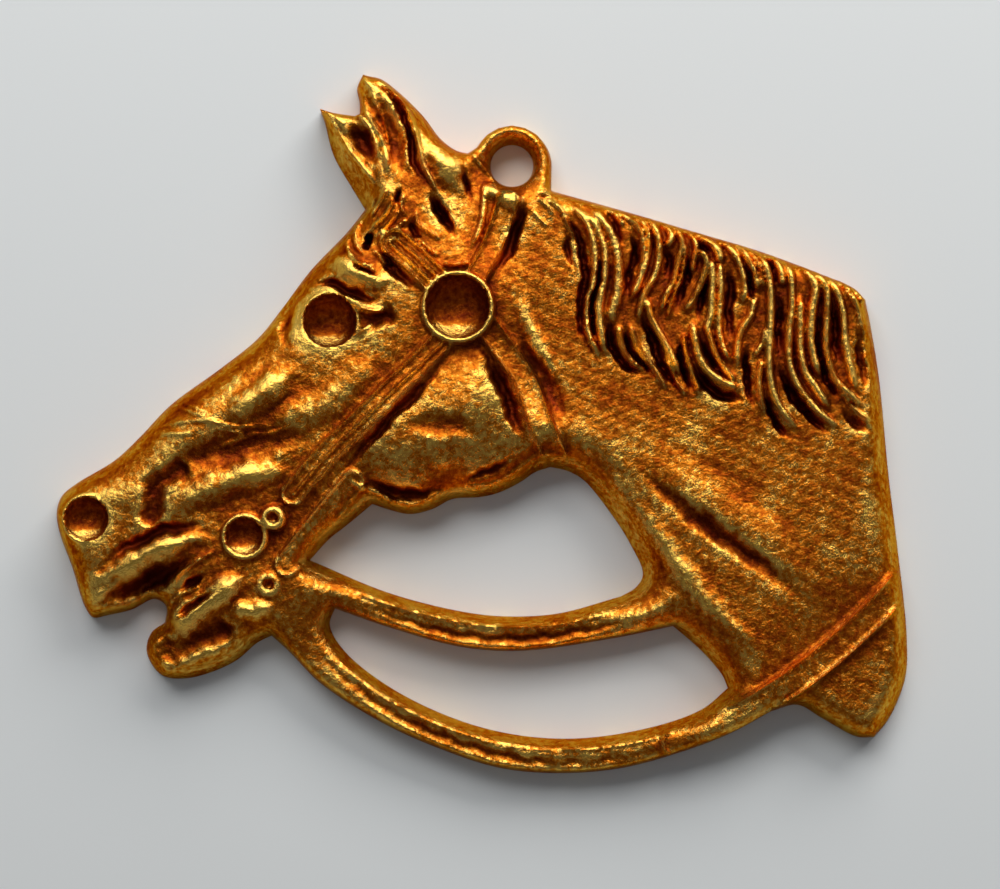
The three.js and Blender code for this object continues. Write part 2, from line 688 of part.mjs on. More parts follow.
class Triangulation {
  constructor(reach) {
    this.x = [-reach, reach, 0];
    this.y = [-reach, -reach, reach];
    this.triangles = [{ v: [0, 1, 2], n: [null, null, null], alive: true }];
    this.recent = this.triangles[0];
  }

  leftOf(a, b, x, y) {
    return (this.x[b] - this.x[a]) * (y - this.y[a]) - (this.y[b] - this.y[a]) * (x - this.x[a]);
  }

  find(x, y) {
    let triangle = this.recent;
    for (;;) {
      const { v, n } = triangle;
      const side = [0, 1, 2].find((k) => this.leftOf(v[k], v[(k + 1) % 3], x, y) < 0);
      if (side === undefined) {
        return triangle;
      }
      triangle = n[side];
    }
  }

  circleHolds({ v }, x, y) {
    const [ax, bx, cx] = v.map((i) => this.x[i] - x);
    const [ay, by, cy] = v.map((i) => this.y[i] - y);
    const a2 = ax * ax + ay * ay;
    const b2 = bx * bx + by * by;
    const c2 = cx * cx + cy * cy;
    return ax * (by * c2 - cy * b2) - ay * (bx * c2 - cx * b2) + a2 * (bx * cy - cx * by) > 1e-7;
  }

  add(x, y) {
    const index = this.x.length;
    this.x.push(x);
    this.y.push(y);
    const hollow = [this.find(x, y)];
    hollow[0].alive = false;
    const rim = [];
    for (let i = 0; i < hollow.length; i += 1) {
      const { v, n } = hollow[i];
      for (let k = 0; k < 3; k += 1) {
        const next = n[k];
        if (next && next.alive && this.circleHolds(next, x, y)) {
          next.alive = false;
          hollow.push(next);
        } else if (!next || next.alive) {
          rim.push({ a: v[k], b: v[(k + 1) % 3], next, was: hollow[i] });
        }
      }
    }
    this.fan(index, rim);
    return index;
  }

  fan(index, rim) {
    const startingAt = new Map();
    for (const { a, b, next, was } of rim) {
      const triangle = { v: [a, b, index], n: [next, null, null], alive: true };
      if (next) {
        next.n[next.n.indexOf(was)] = triangle;
      }
      startingAt.set(a, triangle);
      this.triangles.push(triangle);
    }
    for (const triangle of startingAt.values()) {
      const after = startingAt.get(triangle.v[1]);
      triangle.n[1] = after;
      after.n[2] = triangle;
      this.recent = triangle;
    }
  }

  live() {
    this.triangles = this.triangles.filter((triangle) => triangle.alive);
    return this.triangles;
  }
}

// ---------------------------------------------------------------- surface from the relief

// Heights measured on a fine grid over the face; null outside it.
function surveyRelief() {
  const box = new THREE.Box2().setFromPoints(faceEdges[0].map(({ x, y }) => new THREE.Vector2(x, y)));
  const columns = Math.floor((box.max.x - box.min.x) / SURVEY_STEP);
  const rows = Math.floor((box.max.y - box.min.y) / SURVEY_STEP);
  const survey = { x0: box.min.x, y0: box.min.y, columns, rows, heights: [] };
  for (let j = 0; j <= rows; j += 1) {
    for (let i = 0; i <= columns; i += 1) {
      const x = survey.x0 + i * SURVEY_STEP;
      const y = survey.y0 + j * SURVEY_STEP;
      const usable = insideFace(x, y) && edgeDistance(x, y) > EDGE_MARGIN;
      survey.heights.push(usable ? reliefHeight(x, y) : null);
    }
  }
  return survey;
}

// The surveyed point where a flat triangle misses the relief most.
function worstMiss(mesh, heights, survey, { v }) {
  const [ax, bx, cx] = v.map((i) => mesh.x[i]);
  const [ay, by, cy] = v.map((i) => mesh.y[i]);
  const [az, bz, cz] = v.map((i) => heights[i]);
  const area = (bx - ax) * (cy - ay) - (by - ay) * (cx - ax);
  const cell = (value, start) => (value - start) / SURVEY_STEP;
  const worst = { miss: 0 };
  const iEnd = Math.min(survey.columns, Math.floor(cell(Math.max(ax, bx, cx), survey.x0)));
  const jEnd = Math.min(survey.rows, Math.floor(cell(Math.max(ay, by, cy), survey.y0)));
  for (let j = Math.max(0, Math.ceil(cell(Math.min(ay, by, cy), survey.y0))); j <= jEnd; j += 1) {
    for (let i = Math.max(0, Math.ceil(cell(Math.min(ax, bx, cx), survey.x0))); i <= iEnd; i += 1) {
      const height = survey.heights[j * (survey.columns + 1) + i];
      if (height === null) {
        continue;
      }
      const x = survey.x0 + i * SURVEY_STEP;
      const y = survey.y0 + j * SURVEY_STEP;
      const wb = ((x - ax) * (cy - ay) - (y - ay) * (cx - ax)) / area;
      const wc = ((bx - ax) * (y - ay) - (by - ay) * (x - ax)) / area;
      if (wb < 0 || wc < 0 || wb + wc > 1) {
        continue;
      }
      const clear = v.every((k) => Math.hypot(mesh.x[k] - x, mesh.y[k] - y) > CLOSEST_POINTS);
      const miss = Math.abs(az + wb * (bz - az) + wc * (cz - az) - height);
      if (clear && miss > worst.miss) {
        Object.assign(worst, { miss, x, y, height });
      }
    }
  }
  return worst;
}

function sidesOf(faces) {
  return new Set(faces.flatMap((v) => [0, 1, 2].map((k) => `${v[k]} ${v[(k + 1) % 3]}`)));
}

const halfway = (a, b) => ({ x: (a.x + b.x) / 2, y: (a.y + b.y) / 2 });

// Where a side of an edge isn't a side of any triangle, it is halved, on the
// face and on the back. Returns false once every side is there.
function halveMissingSides(mesh, loops) {
  const sides = sidesOf(mesh.live().map(({ v }) => v));
  let halved = false;
  loops.forEach((loop, l) => {
    for (let i = loop.length - 1; i >= 0; i -= 1) {
      const j = (i + 1) % loop.length;
      if (!sides.has(`${loop[i]} ${loop[j]}`) && !sides.has(`${loop[j]} ${loop[i]}`)) {
        faceEdges[l].splice(i + 1, 0, halfway(faceEdges[l][i], faceEdges[l][j]));
        backEdges[l].splice(i + 1, 0, halfway(backEdges[l][i], backEdges[l][j]));
        halved = true;
      }
    }
  });
  return halved;
}

function triangulatedEdges() {
  for (;;) {
    const mesh = new Triangulation(1000);
    const loops = faceEdges.map((edge) => edge.map(({ x, y }) => mesh.add(x, y)));
    if (!halveMissingSides(mesh, loops)) {
      return { mesh, loops };
    }
  }
}

// Points go where the triangles miss the relief most, until they are used up.
function reliefSurface() {
  const { mesh, loops } = triangulatedEdges();
  const heights = mesh.x.map((x, i) => (i < FAR_CORNERS ? 0 : reliefHeight(x, mesh.y[i])));
  const survey = surveyRelief();
  const last = mesh.x.length + RELIEF_POINTS;
  while (mesh.x.length < last) {
    const misses = mesh.live()
      .map((triangle) => worstMiss(mesh, heights, survey, triangle))
      .filter(({ miss }) => miss > 0)
      .sort((p, q) => q.miss - p.miss);
    const batch = misses.slice(0, Math.max(20, Math.floor(misses.length * 0.2)));
    for (const { x, y, height } of batch.slice(0, last - mesh.x.length)) {
      heights.push(height);
      mesh.add(x, y);
    }
    if (batch.length === 0) {
      break;
    }
  }
  const onFace = ({ v }) => {
    const cx = (mesh.x[v[0]] + mesh.x[v[1]] + mesh.x[v[2]]) / 3;
    const cy = (mesh.y[v[0]] + mesh.y[v[1]] + mesh.y[v[2]]) / 3;
    return Math.min(...v) >= FAR_CORNERS && insideFace(cx, cy);
  };
  const withoutCorners = (list) => list.map((i) => i - FAR_CORNERS);
  return {
    points: mesh.x.map((x, i) => [x, mesh.y[i], heights[i]]).slice(FAR_CORNERS),
    loops: loops.map(withoutCorners),
    faces: mesh.live().filter(onFace).map(({ v }) => withoutCorners(v)),
  };
}

// ---------------------------------------------------------------- the casting

function castingGeometry() {
  const { points, loops, faces } = reliefSurface();
  const positions = points.flat();
  const indices = faces.flat();
  const backLoops = backEdges.map((edge) => edge.map(({ x, y }) => {
    positions.push(x, y, 0);
    return positions.length / 3 - 1;
  }));
  const faceSides = sidesOf(faces);
  loops.forEach((loop, l) => {
    loop.forEach((a, i) => {
      const j = (i + 1) % loop.length;
      const b = loop[j];
      const backA = backLoops[l][i];
      const backB = backLoops[l][j];
      if (faceSides.has(`${a} ${b}`)) {
        indices.push(b, a, backA, b, backA, backB);
      } else if (faceSides.has(`${b} ${a}`)) {
        indices.push(a, b, backB, a, backB, backA);
      } else {
        throw new Error(`the face has no side along its edge ${l} at point ${i}`);
      }
    });
  });
  const [contour, ...holes] = backEdges.map((edge) => edge.map(({ x, y }) => new THREE.Vector2(x, y)));
  const order = backLoops.flat();
  for (const [a, b, c] of THREE.ShapeUtils.triangulateShape(contour, holes)) {
    const [va, vb, vc] = [a, b, c].map((i) => order[i]);
    const turn = (positions[3 * vb] - positions[3 * va]) * (positions[3 * vc + 1] - positions[3 * va + 1])
      - (positions[3 * vb + 1] - positions[3 * va + 1]) * (positions[3 * vc] - positions[3 * va]);
    indices.push(...(turn > 0 ? [va, vc, vb] : [va, vb, vc]));
  }
  const geometry = new THREE.BufferGeometry();
  geometry.setAttribute('position', new THREE.Float32BufferAttribute(positions, 3));
  geometry.setIndex(indices);
  geometry.computeBoundingBox();
  const middle = geometry.boundingBox.getCenter(new THREE.Vector3());
  return geometry.translate(-middle.x, -middle.y, 0);
}

const brass = new THREE.MeshStandardMaterial({ color: 0xb8791f, roughness: 0.35, metalness: 1.0 });
const horseBrass = new THREE.Mesh(castingGeometry(), brass);
horseBrass.name = 'horse_brass';

const group = new THREE.Group();
group.add(horseBrass);

export default group;
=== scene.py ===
"""Horse brass: the looks of one cast openwork horse's head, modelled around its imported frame.

Lengths in the lists below are millimetres on the brass lying face up: x from muzzle to mane,
y towards the hanging ring, heights above the flat back.
"""

import math

import bmesh
import bpy
import numpy as np
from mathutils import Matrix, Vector
from mathutils.geometry import delaunay_2d_cdt
from mathutils.kdtree import KDTree


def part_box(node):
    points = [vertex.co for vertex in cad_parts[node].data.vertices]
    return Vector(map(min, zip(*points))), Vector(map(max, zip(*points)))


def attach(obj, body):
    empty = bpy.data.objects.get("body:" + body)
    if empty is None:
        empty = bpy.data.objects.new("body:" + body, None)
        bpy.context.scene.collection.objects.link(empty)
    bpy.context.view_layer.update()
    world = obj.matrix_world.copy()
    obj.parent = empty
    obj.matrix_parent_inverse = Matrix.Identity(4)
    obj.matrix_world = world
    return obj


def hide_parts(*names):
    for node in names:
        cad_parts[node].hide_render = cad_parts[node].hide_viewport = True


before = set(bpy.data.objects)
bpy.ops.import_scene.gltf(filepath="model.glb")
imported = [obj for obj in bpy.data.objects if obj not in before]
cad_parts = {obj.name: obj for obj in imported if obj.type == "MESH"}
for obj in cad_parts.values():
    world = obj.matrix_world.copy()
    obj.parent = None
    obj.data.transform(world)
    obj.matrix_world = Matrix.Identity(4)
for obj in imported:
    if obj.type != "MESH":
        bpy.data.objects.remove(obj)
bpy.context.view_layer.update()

bl_info = {
    "name": "Cast horse brass",
    "version": (1, 0, 0),
    "blender": (4, 5, 0),
    "location": "View3D > Sidebar > Horse Brass",
    "description": "Models a cast openwork horse brass, its finish and a plain studio stage",
    "category": "Object",
}

NODE = "horse_brass"
PIECE = "horse_brass_casting"
MM = 0.001

# ------------------------------------------------------------------ edges of the casting
# Each edge is a chain of stretches on the flat back: (draft, points) or (draft, arc).
# The draft is how far the wall leans in between the back and the face.

RING_CENTRE = (3.0, 25.8)
RING_RADIUS = 4.0
RING_BORE = 2.15

OUTLINE = [
    # near ear, back edge
    (0.7, [(-12.05, 35.0), (-10.3, 34.7), (-8.5, 33.4), (-5.95, 30.9), (-4.2, 28.6), (-2.6, 27.4),
           (-1.45, 27.1)]),
    # hanging ring
    (0.55, {"radius": RING_RADIUS, "start": 152, "end": 2}),
    # crest of the mane
    (0.8, [(6.95, 23.3), (9.85, 22.5), (15.85, 20.8), (21.85, 19.0), (27.85, 17.2), (33.85, 14.95),
           (37.2, 13.5), (38.45, 12.2)]),
    # cut of the neck
    (1.3, [(38.45, 12.2), (38.85, 10.3), (39.75, 4.5), (40.65, -5.5), (41.45, -12.5), (42.3, -21.5),
           (42.1, -25.5), (40.45, -29.5), (38.95, -31.35)]),
    # foot of the neck
    (0.7, [(38.95, -31.35), (37.25, -31.3), (33.85, -29.5), (31.35, -28.15), (28.75, -28.8)]),
    # lower rein, outer edge
    (0.55, [(28.75, -28.8), (24.75, -30.95), (19.85, -32.8), (13.85, -34.4), (7.85, -34.9), (1.85, -34.4),
            (-4.15, -32.5), (-9.95, -29.9), (-16.05, -26.0), (-19.25, -22.8), (-20.95, -21.3)]),
    # chin
    (0.8, [(-20.95, -21.3), (-22.35, -22.0), (-24.65, -23.9), (-29.15, -25.5), (-31.85, -25.2),
           (-33.35, -22.9), (-32.9, -21.0), (-31.55, -20.0)]),
    # mouth
    (0.5, [(-31.55, -20.0), (-31.45, -18.4), (-32.6, -17.65), (-34.85, -18.7), (-37.35, -19.3)]),
    # muzzle, nose and forehead
    (0.8, [(-37.35, -19.3), (-38.7, -19.5), (-39.55, -18.4), (-40.85, -14.5), (-42.15, -11.0), (-42.45, -9.0),
           (-41.95, -7.4), (-40.55, -6.2), (-36.65, -3.8), (-34.2, -1.5), (-31.15, 1.7), (-26.15, 5.4),
           (-22.45, 8.4), (-20.05, 11.4), (-17.15, 15.3), (-13.55, 19.1), (-11.75, 21.4)]),
    # far ear, outer edge
    (1.2, [(-11.75, 21.4), (-13.15, 23.7), (-14.95, 26.9), (-15.85, 30.2), (-16.25, 31.3)]),
    # far ear, upper edge
    (0.4, [(-16.25, 31.3), (-15.15, 31.2), (-12.35, 30.7)]),
    # near ear, front edge
    (0.4, [(-12.35, 30.7), (-12.35, 32.3), (-12.6, 33.7), (-12.05, 35.0)]),
]

UPPER_OPENING = [
    # behind the chin
    (0.7, [(-17.15, -13.8), (-15.35, -11.8), (-13.35, -10.2), (-10.95, -8.2)]),
    # under the jaw
    (0.7, [(-10.95, -8.2), (-9.15, -8.8), (-7.15, -9.2), (-4.95, -8.7), (-2.95, -7.7), (-0.15, -7.5),
           (1.85, -7.0), (3.85, -6.0), (5.35, -5.0), (6.85, -4.5)]),
    # throat
    (0.9, [(6.85, -4.5), (8.55, -4.9), (10.15, -5.8), (12.85, -9.1), (14.7, -12.0), (16.05, -15.2),
           (15.35, -16.5), (13.85, -17.4)]),
    # upper rein, upper edge
    (0.95, [(13.85, -17.4), (7.85, -19.05), (3.35, -19.4), (-1.15, -19.05), (-9.15, -17.1), (-17.15, -13.8)]),
]

LOWER_OPENING = [
    # upper rein, lower edge
    (0.35, [(-14.65, -18.6), (-9.15, -20.5), (-2.15, -22.4), (3.85, -22.8), (12.85, -21.6), (19.05, -20.35)]),
    # front of the neck
    (0.8, [(19.05, -20.35), (21.85, -22.8), (23.9, -25.2), (24.45, -26.5)]),
    # lower rein, inner edge
    (0.8, [(24.45, -26.5), (21.85, -28.6), (15.85, -30.6), (7.85, -31.5), (-0.15, -30.35), (-8.15, -27.0),
           (-13.6, -22.9), (-15.15, -20.2), (-14.65, -18.6)]),
]

RING_HOLE = [(0.4, {"radius": RING_BORE, "start": 0, "end": -360})]

EDGES = [OUTLINE, UPPER_OPENING, LOWER_OPENING, RING_HOLE]

# ------------------------------------------------------------------ height of the relief
# (x, y, height well inside the edge, height where the wall ends, width of the rounding, reach)

FORM = [
    (-38.0, -11.0, 4.7, 2.2, 3.0, 4.0),  # muzzle
    (-35.5, -16.0, 4.3, 2.4, 2.0, 3.0),  # upper lip
    (-31.0, -4.0, 5.2, 2.2, 4.6, 5.0),  # nose
    (-24.0, 2.0, 5.5, 2.2, 5.0, 5.0),  # bridge of the nose
    (-16.5, 12.5, 5.7, 2.4, 4.5, 5.0),  # forehead
    (-7.5, 11.0, 6.0, 3.0, 4.0, 5.0),  # temple
    (-5.0, 1.0, 5.7, 2.2, 5.5, 5.0),  # cheek
    (3.0, -2.5, 5.2, 2.2, 4.0, 4.0),  # back of the jaw
    (-25.0, -10.0, 4.9, 2.4, 3.0, 4.0),  # corner of the mouth
    (-28.0, -21.0, 4.5, 1.9, 3.2, 3.5),  # chin
    (-19.5, -12.0, 4.5, 2.6, 1.2, 3.0),  # bit
    (-9.5, 18.5, 5.2, 2.8, 2.4, 3.5),  # forelock
    (-6.8, 27.5, 4.9, 2.4, 2.0, 4.0),  # near ear
    (-13.3, 27.6, 3.9, 2.0, 1.4, 3.0),  # far ear
    (*RING_CENTRE, 3.2, 2.5, 0.9, 3.0),  # hanging ring
    (3.5, 19.5, 4.5, 2.8, 1.6, 3.0),  # poll
    (8.5, 5.0, 4.4, 2.0, 3.0, 5.0),  # neck behind the jaw
    (22.0, 11.0, 4.5, 3.0, 1.4, 7.0),  # mane
    (35.5, 7.0, 4.3, 3.1, 1.0, 4.0),  # mane at the withers
    (15.5, -8.5, 4.6, 1.9, 3.4, 5.0),  # throat side of the neck
    (28.0, -10.0, 4.3, 2.4, 2.4, 6.0),  # middle of the neck
    (23.5, -20.0, 4.2, 2.0, 3.2, 4.0),  # front of the neck
    (37.5, -26.0, 3.7, 2.6, 1.4, 5.0),  # foot of the neck
    (-5.0, -19.8, 3.1, 2.7, 0.6, 4.0),  # upper rein
    (8.0, -20.8, 3.1, 2.7, 0.6, 4.0),  # upper rein, far end
    (-13.0, -25.5, 3.1, 2.6, 0.7, 4.0),  # lower rein, near end
    (-1.0, -32.0, 3.1, 2.6, 0.7, 5.0),  # lower rein
    (24.6, -29.4, 4.0, 3.0, 0.9, 2.5),  # lower rein at the neck
    (14.0, -32.5, 3.1, 2.6, 0.7, 5.0),  # lower rein, far end
]

# ------------------------------------------------------------------ carving
# A stroke is (half width, height, points) along a smooth curve. A vein is its points alone.

SWELLINGS = [
    (1.5, 1.0, [(-16.4, 15.4), (-14.2, 15.5), (-12.2, 14.3), (-10.2, 13.5), (-8.6, 13.8)]),  # brow
    (3.2, 0.5, [(-35.0, -5.8), (-30.0, -1.8), (-23.5, 3.6), (-19.5, 7.6)]),  # bridge of the nose
    (2.3, 1.0, [(-26.6, -0.6), (-21.9, 2.2), (-17.6, 5.4)]),  # cheek bone
    (2.2, 0.45, [(-18.4, 0.4), (-15.2, 1.4), (-11.8, 4.4)]),  # end of the cheek bone
    (2.0, 1.0, [(-31.0, -9.4), (-27.4, -7.3), (-23.2, -5.7), (-18.0, -5.2)]),  # cheek muscle
    (6.5, 0.9, [(-7.6, -1.0), (-4.4, 0.6), (-1.0, 1.6)]),  # cheek
    (1.6, 0.4, [(-8.5, -4.6), (-4.5, -3.9), (-0.5, -3.8)]),  # lower cheek
    (1.4, 1.1, [(-39.0, -16.4), (-35.3, -14.6), (-32.0, -12.9), (-29.0, -11.9), (-25.6, -11.6)]),  # upper lip
    (1.7, 1.3, [(-29.4, -19.5), (-26.9, -18.0), (-24.6, -16.4)]),  # chin
    (1.2, 0.6, [(-23.6, -18.6), (-22.4, -18.8), (-21.4, -18.4)]),  # chin groove
    # edge of the throat
    (1.6, 0.5, [(7.6, -2.6), (12.9, -6.2), (16.9, -11.4), (22.4, -18.0), (29.0, -24.4)]),
    (3.4, 0.5, [(15.5, -2.0), (21.0, -7.2), (27.6, -12.0), (33.5, -18.0)]),  # shoulder muscle
    (1.2, 0.5, [(3.6, 13.4), (4.5, 9.7), (5.7, 6.9), (6.6, 5.1), (7.4, 2.0)]),  # windpipe
    (2.2, 0.7, [(-5.9, 29.4), (-4.4, 26.6), (-2.6, 23.6), (-2.2, 21.4)]),  # back of the near ear
    (1.3, 0.8, [(1.0, 22.6), (2.2, 22.2), (3.3, 21.4)]),  # poll
]

HOLLOWS = [
    # inside of the near ear
    (1.7, 1.1, [(-11.7, 33.4), (-10.2, 31.2), (-8.9, 28.4), (-8.2, 25.6), (-7.0, 23.3)]),
    (0.6, 1.3, [(-11.6, 34.2), (-9.6, 32.8), (-8.2, 31.0), (-7.4, 29.2), (-7.0, 27.4), (-6.7, 25.6),
                (-5.9, 23.8), (-4.9, 22.3)]),  # fold of the near ear
    (0.85, 1.7, [(-5.1, 22.6), (-4.2, 20.8), (-3.3, 19.0), (-2.7, 17.6)]),  # pit of the near ear
    (1.2, 1.1, [(-13.9, 29.9), (-12.4, 28.4), (-11.2, 26.6), (-10.5, 24.8)]),  # inside of the far ear
    (0.7, 0.6, [(-12.5, 28.4), (-11.5, 27.5)]),  # deepest place of the far ear
    (0.45, 0.7, [(-2.1, 25.4), (-1.5, 23.6), (-1.1, 21.4)]),  # fold behind the near ear
    (1.1, 1.1, [(-18.8, 6.6), (-19.4, 9.2), (-18.7, 12.0), (-16.4, 13.4)]),  # eye socket
    (0.75, 1.3, [(-17.0, 13.3), (-14.6, 13.3), (-12.5, 12.3), (-10.9, 11.6), (-9.4, 12.0)]),  # under the brow
    (1.3, 0.9, [(-12.4, 10.0), (-10.9, 9.7), (-9.4, 10.0)]),  # corner of the eye
    (2.2, 0.8, [(-31.6, -5.8), (-28.2, -4.0), (-22.8, -2.6), (-15.8, -1.6)]),  # under the cheek bone
    (1.5, 1.0, [(-29.6, -5.0), (-31.8, -6.6), (-32.2, -9.4)]),  # behind the nostril
    (1.5, 2.2, [(-38.6, -18.2), (-35.6, -17.3), (-32.6, -15.9), (-30.2, -14.6), (-27.6, -13.7)]),  # mouth
    (0.9, 1.0, [(-36.9, -13.8), (-33.6, -12.0), (-31.3, -10.9), (-26.7, -10.4)]),  # above the upper lip
    (0.6, 1.2, [(-30.6, -20.2), (-28.2, -18.2), (-25.6, -16.6)]),  # fold of the lower lip
    (0.5, 0.9, [(-29.9, -17.4), (-28.4, -16.0), (-26.4, -14.9)]),  # lip folds
    (1.7, 1.3, [(-30.8, -22.8), (-28.4, -22.0), (-25.4, -20.6)]),  # hollow of the chin
    (1.3, 0.9, [(14.6, -4.4), (19.9, -8.8), (25.9, -13.2), (32.4, -18.2)]),  # muscle of the neck
    (0.8, 1.1, [(4.6, 21.7), (3.7, 19.6), (2.9, 17.2), (1.5, 14.0)]),  # behind the crown strap
    (0.8, 0.9, [(-10.0, 15.9), (-8.3, 14.3), (-6.4, 12.6)]),  # under the brow band
    (1.4, 0.7, [(3.2, 9.0), (5.0, 6.2), (6.8, 3.0), (8.4, -1.0)]),  # behind the throat latch
    # in front of the throat latch
    (1.0, 1.1, [(-0.2, 7.2), (1.3, 4.6), (2.6, 1.6), (3.8, -1.2), (4.8, -3.0)]),
    (0.9, 1.2, [(-11.5, -6.0), (-9.0, -6.9), (-6.6, -7.4), (-4.2, -6.6)]),  # inside the edge of the jaw
    (0.6, 0.7, [(-2.4, -6.2), (0.8, -5.0), (3.4, -3.4)]),  # fold of the jaw
    (1.6, 0.5, [(-8.0, -1.0), (-3.5, -0.6), (0.5, -1.6)]),  # under the cheek
    # below the cheek strap
    (0.7, 0.8, [(-3.0, 6.2), (-5.4, 3.4), (-8.6, 0.2), (-11.6, -3.0), (-14.6, -6.6)]),
    # upper rein
    (0.8, 0.55, [(-13.5, -17.4), (-8.5, -19.5), (-2.0, -21.2), (3.8, -21.6), (11.0, -20.6), (17.5, -19.0)]),
    (0.85, 0.6, [(-17.4, -19.2), (-15.6, -23.2), (-9.6, -28.2), (-2.6, -31.6), (4.6, -33.5), (9.5, -33.7),
                 (16.0, -32.8), (22.0, -30.6)]),  # lower rein
]

RIMS = [
    (0.4, 0.8, [(-11.5, 34.8), (-9.9, 33.5), (-8.3, 32.1), (-7.3, 30.5), (-6.6, 28.6), (-6.1, 26.6),
                (-5.6, 24.8), (-4.6, 22.9), (-3.6, 21.5)]),  # near ear
    (0.25, 0.45, [(-11.0, 32.9), (-10.3, 31.0), (-9.6, 29.3), (-9.2, 27.6), (-9.0, 25.4)]),  # near ear, fold
    (0.4, 0.6, [(-12.2, 33.4), (-11.9, 32.0), (-11.5, 30.6), (-10.6, 28.9), (-9.7, 27.3), (-9.3, 25.6),
                (-9.2, 23.8)]),  # near ear, front rim
    # far ear
    (0.5, 0.8, [(-15.7, 31.0), (-15.1, 29.7), (-14.1, 28.0), (-13.1, 26.5), (-11.8, 24.9), (-10.3, 22.9)]),
    # far ear, upper rim
    (0.35, 0.6, [(-15.2, 31.0), (-13.6, 30.8), (-12.2, 30.2), (-11.2, 29.1), (-10.5, 27.6), (-10.0, 25.6)]),
    (0.35, 0.8, [(-12.4, 11.15), (-11.4, 10.7), (-10.3, 10.5), (-9.2, 10.7)]),  # upper lid
    (0.3, 0.5, [(-12.5, 8.0), (-11.3, 8.8), (-10.5, 9.5)]),  # lower lid
    (0.3, 0.5, [(-31.5, -19.6), (-30.7, -18.3), (-29.4, -17.0), (-27.3, -16.3)]),  # lower lip
    (0.3, 0.5, [(-30.1, -16.6), (-29.7, -15.4), (-28.4, -14.3), (-25.9, -12.8)]),  # fold of the mouth
    (0.4, 0.5, [(-32.6, -24.4), (-29.7, -24.9), (-26.9, -24.6), (-24.0, -22.9)]),  # under the chin
    # front of the jaw
    (0.5, 0.7, [(-13.4, -5.4), (-12.1, -6.5), (-10.3, -7.3), (-7.9, -8.4), (-6.2, -8.4), (-3.8, -7.2),
                (-2.5, -6.7)]),
    # back of the jaw
    (0.5, 0.5, [(-2.6, -6.7), (0.3, -6.7), (1.9, -6.2), (4.0, -4.8), (5.6, -3.7), (6.8, -3.5),
                (8.6, -4.0)]),
    # upper rein
    (0.3, 0.35, [(-15.5, -15.5), (-9.0, -18.15), (-1.4, -20.0), (3.5, -20.35), (8.2, -20.0),
                 (14.5, -18.4)]),
    # lower rein
    (0.3, 0.35, [(-15.9, -19.2), (-14.6, -22.9), (-8.8, -27.6), (-0.5, -31.1), (7.8, -32.3),
                 (16.0, -31.4), (22.2, -29.4)]),
    (0.4, 0.6, [(0.15, 23.4), (0.2, 20.9), (-0.2, 18.8), (-1.1, 16.6)]),  # in front of the crown strap
    (0.3, 0.4, [(-1.1, 26.6), (0.3, 24.9), (1.7, 23.6)]),  # under the hanging ring
    (0.3, 0.6, [(-3.9, 15.2), (-2.4, 15.1), (-1.1, 15.4)]),  # over the rosette
]

VEINS = [
    [(-31.7, -0.7), (-29.2, -0.3), (-26.7, -0.2), (-24.0, -0.8), (-20.4, -0.6)],
    [(-30.4, 1.5), (-28.4, 0.7), (-26.5, 0.0)],
    [(-29.7, 1.9), (-28.0, 1.1), (-26.5, 0.4)],
    [(-31.7, -1.4), (-29.6, -1.5), (-27.8, -1.4)],
    [(-26.1, -0.9), (-24.0, -1.3), (-23.2, -1.5), (-24.6, -2.3), (-26.1, -3.0)],
    [(-25.4, -2.9), (-22.1, -1.5), (-20.9, -1.5), (-18.1, -0.6)],
]

FORELOCK = [
    (0.32, 0.7, [(-10.4, 22.6), (-12.2, 20.9), (-13.2, 19.0), (-13.2, 17.0), (-12.4, 15.6),
                 (-11.2, 15.0), (-9.9, 15.3)]),
    (0.3, 0.7, [(-10.0, 22.3), (-11.6, 20.6), (-12.4, 18.8), (-12.2, 17.0), (-11.3, 15.9)]),
    (0.34, 0.8, [(-9.1, 22.9), (-10.2, 21.2), (-11.0, 19.8)]),
    (0.3, 0.7, [(-8.6, 21.8), (-9.3, 20.3), (-10.3, 19.2), (-11.0, 18.6)]),
    (0.3, 0.7, [(-8.0, 20.7), (-8.9, 19.4), (-9.7, 18.5), (-10.4, 17.7)]),
    (0.28, 0.6, [(-7.6, 22.2), (-7.9, 21.0), (-7.4, 19.9)]),
    (0.28, 0.6, [(-7.2, 19.7), (-8.2, 18.9), (-9.0, 18.1)]),
    (0.3, 0.6, [(-6.4, 20.8), (-6.3, 19.3), (-5.2, 18.4), (-3.9, 17.5)]),
    (0.28, 0.5, [(-6.4, 17.9), (-5.3, 16.8), (-4.2, 15.8)]),
    (0.28, 0.5, [(-10.7, 16.7), (-9.9, 15.9), (-9.3, 14.9)]),
]
FORELOCK_HOLLOWS = [
    (0.5, 1.6, [(-10.8, 18.5), (-11.3, 17.4), (-11.0, 16.3)]),
    (0.35, 0.8, [(-7.9, 22.9), (-8.6, 21.0)]),
    (0.4, 0.9, [(-12.8, 15.5), (-11.6, 14.4), (-9.9, 14.2)]),
    (0.3, 0.6, [(-9.7, 16.9), (-9.0, 15.6), (-7.6, 14.2)]),
    (0.35, 0.7, [(-6.9, 19.6), (-6.8, 18.6), (-5.6, 17.6)]),
]

